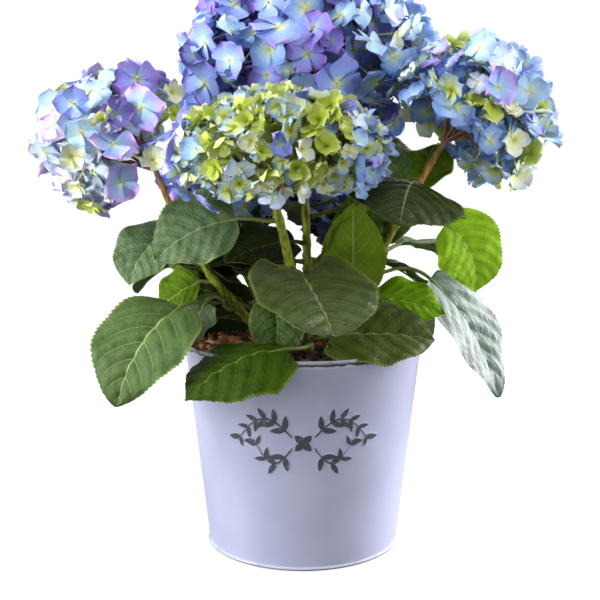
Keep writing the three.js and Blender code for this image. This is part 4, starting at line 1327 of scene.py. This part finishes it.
# %% Head table
Head = namedtuple("Head", "cane centre radii reach seed degrees hues forms inner bulges rims rounded")
OPEN_FORMS = {"open": 3, "wavy": 3, "cup": 2}
HEADS = {
    # Painted light: the left head's pale inner layer and pale left rim stand for light on that side
    "left": Head("left", (-130, -25, 147), (47, 45, 49), 15.0, 11, 120,
                 {"lilac": 5, "sky": 2, "pink": 3, "violet": 1, "pale": 1, "cream": 2, "lime": 1},
                 OPEN_FORMS, "pale",
                 [(-0.7, 0.7, -0.17), (0.95, 0.4, 0.2), (0.3, 1.0, -0.1), (0.0, -1.0, -0.04)],
                 [(-1.0, -0.2, {"pale": 3, "pink": 3, "cream": 2, "sky": 1})], True),
    "front": Head("front", (-14, -46, 139), (70, 58, 43), 8.6, 23, 124,
                  {"lime": 9, "cream": 2, "lime_blue": 4, "sky": 1, "periwinkle": 1},
                  {"cup": 4, "bowl": 3, "open": 2}, "moss",
                  [(-1.0, -0.25, 0.05), (0.3, 1.0, -0.12), (-0.7, 0.75, -0.14)],
                  [(1.0, -0.5, {"periwinkle": 2, "blue": 2, "lime_blue": 3, "sky": 2, "violet": 1}),
                   (-1.0, -0.6, {"lime_blue": 3, "sky": 2, "periwinkle": 1, "cream": 2})], False),
    "right": Head("right", (116, 0, 163), (53, 50, 53), 12.5, 37, 114,
                  {"sky": 4, "blue": 1, "pale": 1, "periwinkle": 1, "lime_blue": 5, "cream": 3, "lime": 3},
                  {"open": 2, "cup": 4, "wavy": 2}, "blue",
                  [(0.7, 0.72, -0.14), (0.25, -1.0, 0.1), (-1.0, 0.1, 0.15)],
                  [(1.0, -0.3, {"pale": 2, "sky": 3, "lime_blue": 3, "cream": 3})], True),
    # Painted shade: the shade hue in the top head's mix and on its lower front
    "top": Head("top", (-4, 60, 213), (87, 72, 62), 17.0, 41, 142,
                {"sky": 1, "periwinkle": 4, "blue": 4, "violet": 3, "shade": 2}, OPEN_FORMS, "shade",
                [(0.75, -0.66, 0.33), (-0.65, -0.75, 0.24), (-1.0, 0.1, -0.12)],
                [(1.0, 0.2, {"sky": 3, "pale": 1, "cream": 1, "blue": 4}),
                 (0.5, -0.9, {"shade": 2, "violet": 2, "blue": 3})], True),
    # Painted shade: dusk on the undersides of the two heads behind
    "back_left": Head("back_left", (-64, 90, 112), (47, 46, 45), 15.0, 53, 152,
                      {"sky": 2, "periwinkle": 3, "blue": 2, "lilac": 2}, OPEN_FORMS, "shade",
                      [(-0.8, -0.6, -0.3)], [(0.2, -1.0, {"dusk": 1})], True),
    "back": Head("back", (36, 106, 104), (47, 46, 46), 15.0, 67, 152,
                 {"sky": 2, "blue": 3, "periwinkle": 3, "lime_blue": 1}, OPEN_FORMS, "shade",
                 [(0.6, 0.8, 0.16)], [(-0.2, -1.0, {"dusk": 1})], True),
}

# %% Florets placed first
Shown = namedtuple("Shown", "pixel_x pixel_y reach hue form")
SHOWN = {
    "left": [
        Shown(140, 108, 25, "lilac", "wavy"), Shown(113, 144, 26, "lilac", "open"),
        Shown(120, 181, 23, "lilac", "open"), Shown(136, 80, 26, "violet", "wavy"),
        Shown(90, 93, 21, "sky", "wavy"), Shown(73, 104, 18, "periwinkle", "open"),
        Shown(81, 133, 20, "sky", "open"), Shown(53, 126, 17, "pink", "wavy"),
        Shown(47, 152, 17, "pale", "open"), Shown(72, 157, 14, "cream", "cup"),
        Shown(103, 121, 14, "lime", "cup"), Shown(77, 184, 15, "cream", "cup"),
        Shown(57, 182, 16, "pink", "wavy"), Shown(94, 202, 15, "lime", "cup"),
        Shown(74, 202, 12, "cream", "cup"), Shown(171, 93, 15, "cream", "cup"),
        Shown(173, 115, 11, "lime", "cup"), Shown(157, 139, 22, "periwinkle", "open"),
        Shown(153, 160, 14, "cream", "cup"), Shown(113, 209, 15, "violet", "wavy"),
    ],
    "top": [
        Shown(206, 83, 30, "periwinkle", "open"), Shown(232, 60, 22, "periwinkle", "open"),
        Shown(231, 32, 18, "sky", "cup"), Shown(200, 21, 21, "periwinkle", "wavy"),
        Shown(236, 5, 23, "periwinkle", "open"), Shown(280, 27, 30, "periwinkle", "wavy"),
        Shown(270, 50, 19, "blue", "cup"), Shown(267, 75, 21, "violet", "wavy"),
        Shown(307, 54, 22, "violet", "wavy"), Shown(313, 28, 23, "violet", "open"),
        Shown(337, 83, 28, "periwinkle", "open"), Shown(376, 82, 28, "blue", "open"),
        Shown(368, 41, 20, "sky", "open"), Shown(391, 34, 22, "cream", "cup"),
        Shown(384, 9, 19, "pale", "cup"), Shown(339, 16, 20, "blue", "open"),
        Shown(392, 57, 18, "blue", "wavy"), Shown(412, 28, 15, "sky", "wavy"),
        Shown(183, 48, 16, "periwinkle", "wavy"), Shown(330, 42, 15, "violet", "cup"),
    ],
    "right": [
        Shown(455, 106, 23, "blue", "open"), Shown(452, 91, 17, "lime_blue", "cup"),
        Shown(448, 68, 20, "periwinkle", "wavy"), Shown(454, 46, 12, "lime", "cup"),
        Shown(437, 46, 14, "lilac", "wavy"), Shown(479, 49, 20, "sky", "wavy"),
        Shown(506, 58, 18, "sky", "open"), Shown(497, 88, 19, "lilac", "cup"),
        Shown(529, 91, 18, "sky", "cup"), Shown(509, 112, 13, "cream", "cup"),
        Shown(513, 139, 15, "cream", "cup"), Shown(533, 123, 16, "periwinkle", "open"),
        Shown(541, 158, 19, "pale", "wavy"), Shown(490, 140, 16, "blue", "open"),
        Shown(472, 166, 18, "lime_blue", "open"), Shown(496, 167, 16, "lime_blue", "cup"),
        Shown(513, 183, 12, "lime", "cup"), Shown(415, 98, 16, "blue", "cup"),
        Shown(411, 75, 11, "cream", "cup"), Shown(430, 62, 12, "violet", "wavy"),
        Shown(480, 125, 14, "blue", "cup"), Shown(529, 74, 14, "periwinkle", "open"),
    ],
    "front": [
        Shown(290, 131, 18, "lime_blue", "open"), Shown(326, 146, 15, "lime", "cup"),
        Shown(318, 101, 15, "cream", "cup"), Shown(353, 119, 16, "pale", "open"),
        Shown(354, 168, 19, "blue", "cup"), Shown(371, 157, 11, "violet", "wavy"),
        Shown(353, 189, 15, "sky", "cup"), Shown(263, 130, 14, "lime", "cup"),
        Shown(235, 127, 15, "lime_blue", "open"), Shown(216, 120, 12, "lime", "bowl"),
        Shown(210, 141, 13, "lime", "cup"), Shown(251, 141, 12, "cream", "cup"),
        Shown(262, 152, 13, "lime", "cup"), Shown(241, 168, 16, "pale", "open"),
        Shown(301, 149, 13, "cream", "cup"), Shown(272, 193, 14, "pale", "cup"),
        Shown(299, 186, 12, "cream", "bowl"), Shown(230, 190, 16, "lime_blue", "open"),
        Shown(204, 203, 16, "periwinkle", "wavy"), Shown(182, 191, 13, "blue", "cup"),
        Shown(251, 91, 14, "cream", "open"), Shown(186, 140, 15, "cream", "open"),
        Shown(318, 121, 12, "lime", "bowl"), Shown(343, 134, 11, "lime", "cup"),
    ],
}
print(sum(map(len, SHOWN.values())), "florets placed by eye")

# %% Dome rule
GOLDEN_ANGLE = math.pi * (3 - math.sqrt(5))
OUTER_LAYER = 0.95
INNER_LAYER = 0.70
FILL_SHARE = 1.42
INNER_SHARE = 0.55
FILL_WIDTH = 0.75
KEEP_APART = 0.465
SHOWN_DEPTH = (0, 0.04)
FILL_DEPTH = (-0.11, 0.04)
INNER_DEPTH = (-0.06, 0.08)
FILL_SIZES = (0.72, 1.12)
INNER_SIZES = (0.8, 1.1)
FACING_TILT = 30
LUMP = 0.10
LUMP_SCALE = 2.4
BULGE_POWER = 3
SIGHT_TRIES = 4
RIM_POWER = 2.2


def scaled(first, second):
    return Vector([a * b for a, b in zip(first, second)])


def dome(axis, count, degrees):
    """Directions spread evenly by the golden angle from a pole down to an angle from it."""
    turn = axis.to_track_quat("Z", "X")
    for number in range(count):
        height = 1 - (number + 0.5) / count * (1 - math.cos(math.radians(degrees)))
        flat = math.sqrt(1 - height * height)
        around = number * GOLDEN_ANGLE
        yield turn @ Vector((flat * math.cos(around), flat * math.sin(around), height))


def dome_share(head, direction):
    """How far a head reaches in a direction, as a share of its radii: lumpy, with larger bulges and tucks."""
    share = 1 + LUMP * noise.noise(direction * LUMP_SCALE + Vector((head.seed, 0, 0)))
    for x, z, amount in head.bulges:
        share += amount * max(0.0, direction.dot(Vector((x, 0, z)).normalized())) ** BULGE_POWER
    return share


def seen_direction(head, centre, pixel_x, pixel_y):
    """Direction from a head's centre to where a line of sight meets its dome, or passes nearest to it."""
    ray = sight_line(pixel_x, pixel_y)
    layer = OUTER_LAYER
    for attempt in range(SIGHT_TRIES):
        near = Vector([(a - b) / r for a, b, r in zip(CAMERA_AT, centre, head.radii)]) / layer
        along = Vector([a / r for a, r in zip(ray, head.radii)]) / layer
        half = near.dot(along) / along.length_squared
        rest = half * half - (near.length_squared - 1) / along.length_squared
        direction = (near + along * (-half - math.sqrt(max(rest, 0.0)))).normalized()
        layer = OUTER_LAYER * dome_share(head, direction)
    return direction, (centre - CAMERA_AT).length / FOCAL_PIXELS


def pick(weights):
    return dice.choices(list(weights), list(weights.values()))[0]


def pick_hue(head, direction):
    """A hue from the head's own weights, or from those of one of its sides, the more so the nearer to it."""
    for x, z, weights in head.rims:
        nearness = max(0.0, direction.dot(Vector((x, 0, z)).normalized()))
        if dice.random() < nearness ** RIM_POWER:
            return pick(weights)
    return pick(head.hues)


def floret_copy(head, centre, direction, layer, reach, hue, form):
    """A floret on the dome that faces outwards, leaning and turned a little by chance."""
    at = centre + scaled(direction, head.radii) * layer * dome_share(head, direction)
    facing = Vector([d / r for d, r in zip(direction, head.radii)]).normalized()
    facing_turn = facing.to_track_quat("Z", "X")
    lean = [math.radians(dice.gauss(0, FACING_TILT)) for axis in range(2)]
    turn = facing_turn @ Quaternion((1, 0, 0), lean[0]) @ Quaternion((0, 1, 0), lean[1])
    turn = turn @ Quaternion((0, 0, 1), dice.uniform(0, math.tau))
    shape = form_names.index(form) * VARIANTS + dice.randrange(VARIANTS)
    return Copy(shape, Matrix.LocRotScale(at, turn, Vector((reach,) * 3)), HUE_NAMES.index(hue))


def head_florets(name, head, centre, axis):
    """Shown florets first, then the fill between them, then an inner layer in the head's inner hue."""
    placed = []
    copies = []
    for shown in SHOWN.get(name, []):
        direction, pixel_size = seen_direction(head, centre, shown.pixel_x, shown.pixel_y)
        reach = shown.reach * pixel_size
        placed.append((direction, reach))
        layer = OUTER_LAYER + dice.uniform(*SHOWN_DEPTH)
        copies.append(floret_copy(head, centre, direction, layer, reach, shown.hue, shown.form))
    mean = sum(head.radii) / 3
    area = math.tau * mean * mean * (1 - math.cos(math.radians(head.degrees)))
    count = round(FILL_SHARE * area / (math.pi * (FILL_WIDTH * head.reach) ** 2))
    for direction in dome(axis, count, head.degrees):
        reach = head.reach * dice.uniform(*FILL_SIZES)
        spot = scaled(direction, head.radii)
        gaps = [(spot - scaled(other, head.radii)).length / (reach + wide) for other, wide in placed]
        if min(gaps, default=1.0) < KEEP_APART:
            continue
        layer = OUTER_LAYER + dice.uniform(*FILL_DEPTH)
        hue = pick_hue(head, direction)
        copies.append(floret_copy(head, centre, direction, layer, reach, hue, pick(head.forms)))
    # The inner layer takes the head's inner hue; the shade hue there is painted shade between the florets
    for direction in dome(axis, round(INNER_SHARE * count), head.degrees):
        layer = INNER_LAYER + dice.uniform(*INNER_DEPTH)
        reach = head.reach * dice.uniform(*INNER_SIZES)
        copies.append(floret_copy(head, centre, direction, layer, reach, head.inner, pick(head.forms)))
    return copies


# %% [markdown]
# ## Flower stalks
#
# Under the florets the cane's tip forks into rays, and each ray into thin stalks, one to a floret. They are
# brownish red where they fork and pale green under the sepals. They are grown with the same tube as the
# canes, with few sides, and their colour follows the share along the stalk that their map holds.

# %% Stalk rule
STEM_LENGTH = 8.0
STEM_OVERLAP = 1.0
STEM_TAPER = 0.95
RAY_COUNT = 9
RAY_DEGREES = 112
RAY_DEPTH = 0.52
RAY_OVERLAP = 0.5
STALK_BOW = 0.10
EYE_CLEAR = 0.4
Limb = namedtuple("Limb", "radii shares sides steps")
RAY = Limb((1.2, 0.65), (0.2, 0.6), 6, 5)
FLORET_STALK = Limb((0.75, 0.5), (0.55, 1.0), 4, 2)
STALK_STOPS = ((0.0, "7d6a3e"), (0.3, "8a4f3c"), (0.65, "9a6a4c"), (1.0, "a9b873"))

stalk_red = Finish("flower_stalk", 0.55)
stalk_share = stalk_red.own_map()[0]
stalk_red.colour(stalk_red.ramp(stalk_share, [(share, paint(code)) for share, code in STALK_STOPS]))


def grow_stalks(name, head, centre, axis, copies):
    """Stem, rays and floret stalks of one head."""
    bm = bmesh.new()
    along_layer = bm.verts.layers.float.new("along")
    tip = cane_point(head.cane, 1.0)
    heading = cane_heading(head.cane, 1.0)
    fork = tip + heading * STEM_LENGTH

    def grow_limb(start, end, limb):
        """A tube from one point to another, bowed towards the head's pole."""
        bow = (end - start).length * STALK_BOW
        line = []
        for number in range(limb.steps + 1):
            share = number / limb.steps
            line.append(start.lerp(end, share) + axis * bow * math.sin(math.pi * share))
        stations = []
        for number, point in enumerate(line):
            ahead = line[min(number + 1, limb.steps)] - line[max(number - 1, 0)]
            stations.append((point, ahead.normalized(), blend(*limb.radii, number / limb.steps)))
        for order, vert in enumerate(grow_tube(bm, stations, limb.sides)):
            vert[along_layer] = blend(*limb.shares, (order // limb.sides) / limb.steps)

    girth = cane_radius(head.cane, 1.0)
    stem = Limb((girth, girth * STEM_TAPER), (0.0, 0.2), 10, 3)
    grow_limb(tip - heading * STEM_OVERLAP, fork + heading * STEM_OVERLAP, stem)
    ray_ends = []
    for direction in dome(axis, RAY_COUNT, RAY_DEGREES):
        end = centre + scaled(direction, head.radii) * RAY_DEPTH
        ray_ends.append((direction, end))
        grow_limb(fork - heading * RAY_OVERLAP, end, RAY)
    for copy in copies:
        eye = copy.matrix.translation
        facing = copy.matrix.to_quaternion() @ Vector((0, 0, 1))
        way = (eye - centre).normalized()
        start = max(ray_ends, key=lambda ray: ray[0].dot(way))[1]
        grow_limb(start, eye - facing * EYE_CLEAR, FLORET_STALK)
    uv_layer = bm.loops.layers.uv.new(UV_NAME)
    for face in bm.faces:
        for loop in face.loops:
            loop[uv_layer].uv = (loop.vert[along_layer], 0.5)
    return mesh_from(bm, name)


# %% Heads
for name, head in HEADS.items():
    dice = random.Random(head.seed)
    centre = Vector(head.centre) + Vector((0, 0, SOIL_TOP))
    axis = (centre - cane_point(head.cane, 1.0)).normalized()
    copies = head_florets(name, head, centre, axis)
    slot = f"sepals_{name}"
    stalk_mesh = grow_stalks(f"stalks_{name}", head, centre, axis, copies)
    add_piece(f"stalks_{name}", stalk_mesh, [stalk_red], slot, f"head_{name}")
    floret_mesh = join_copies(f"florets_{name}", floret_shapes, copies, len(HUES))
    florets = add_piece(f"florets_{name}", floret_mesh, sepal_finishes, slot, f"head_{name}")
    if head.rounded:
        smooth = florets.modifiers.new("rounded_sepals", "SUBSURF")
        smooth.levels = 1
        smooth.render_levels = 1
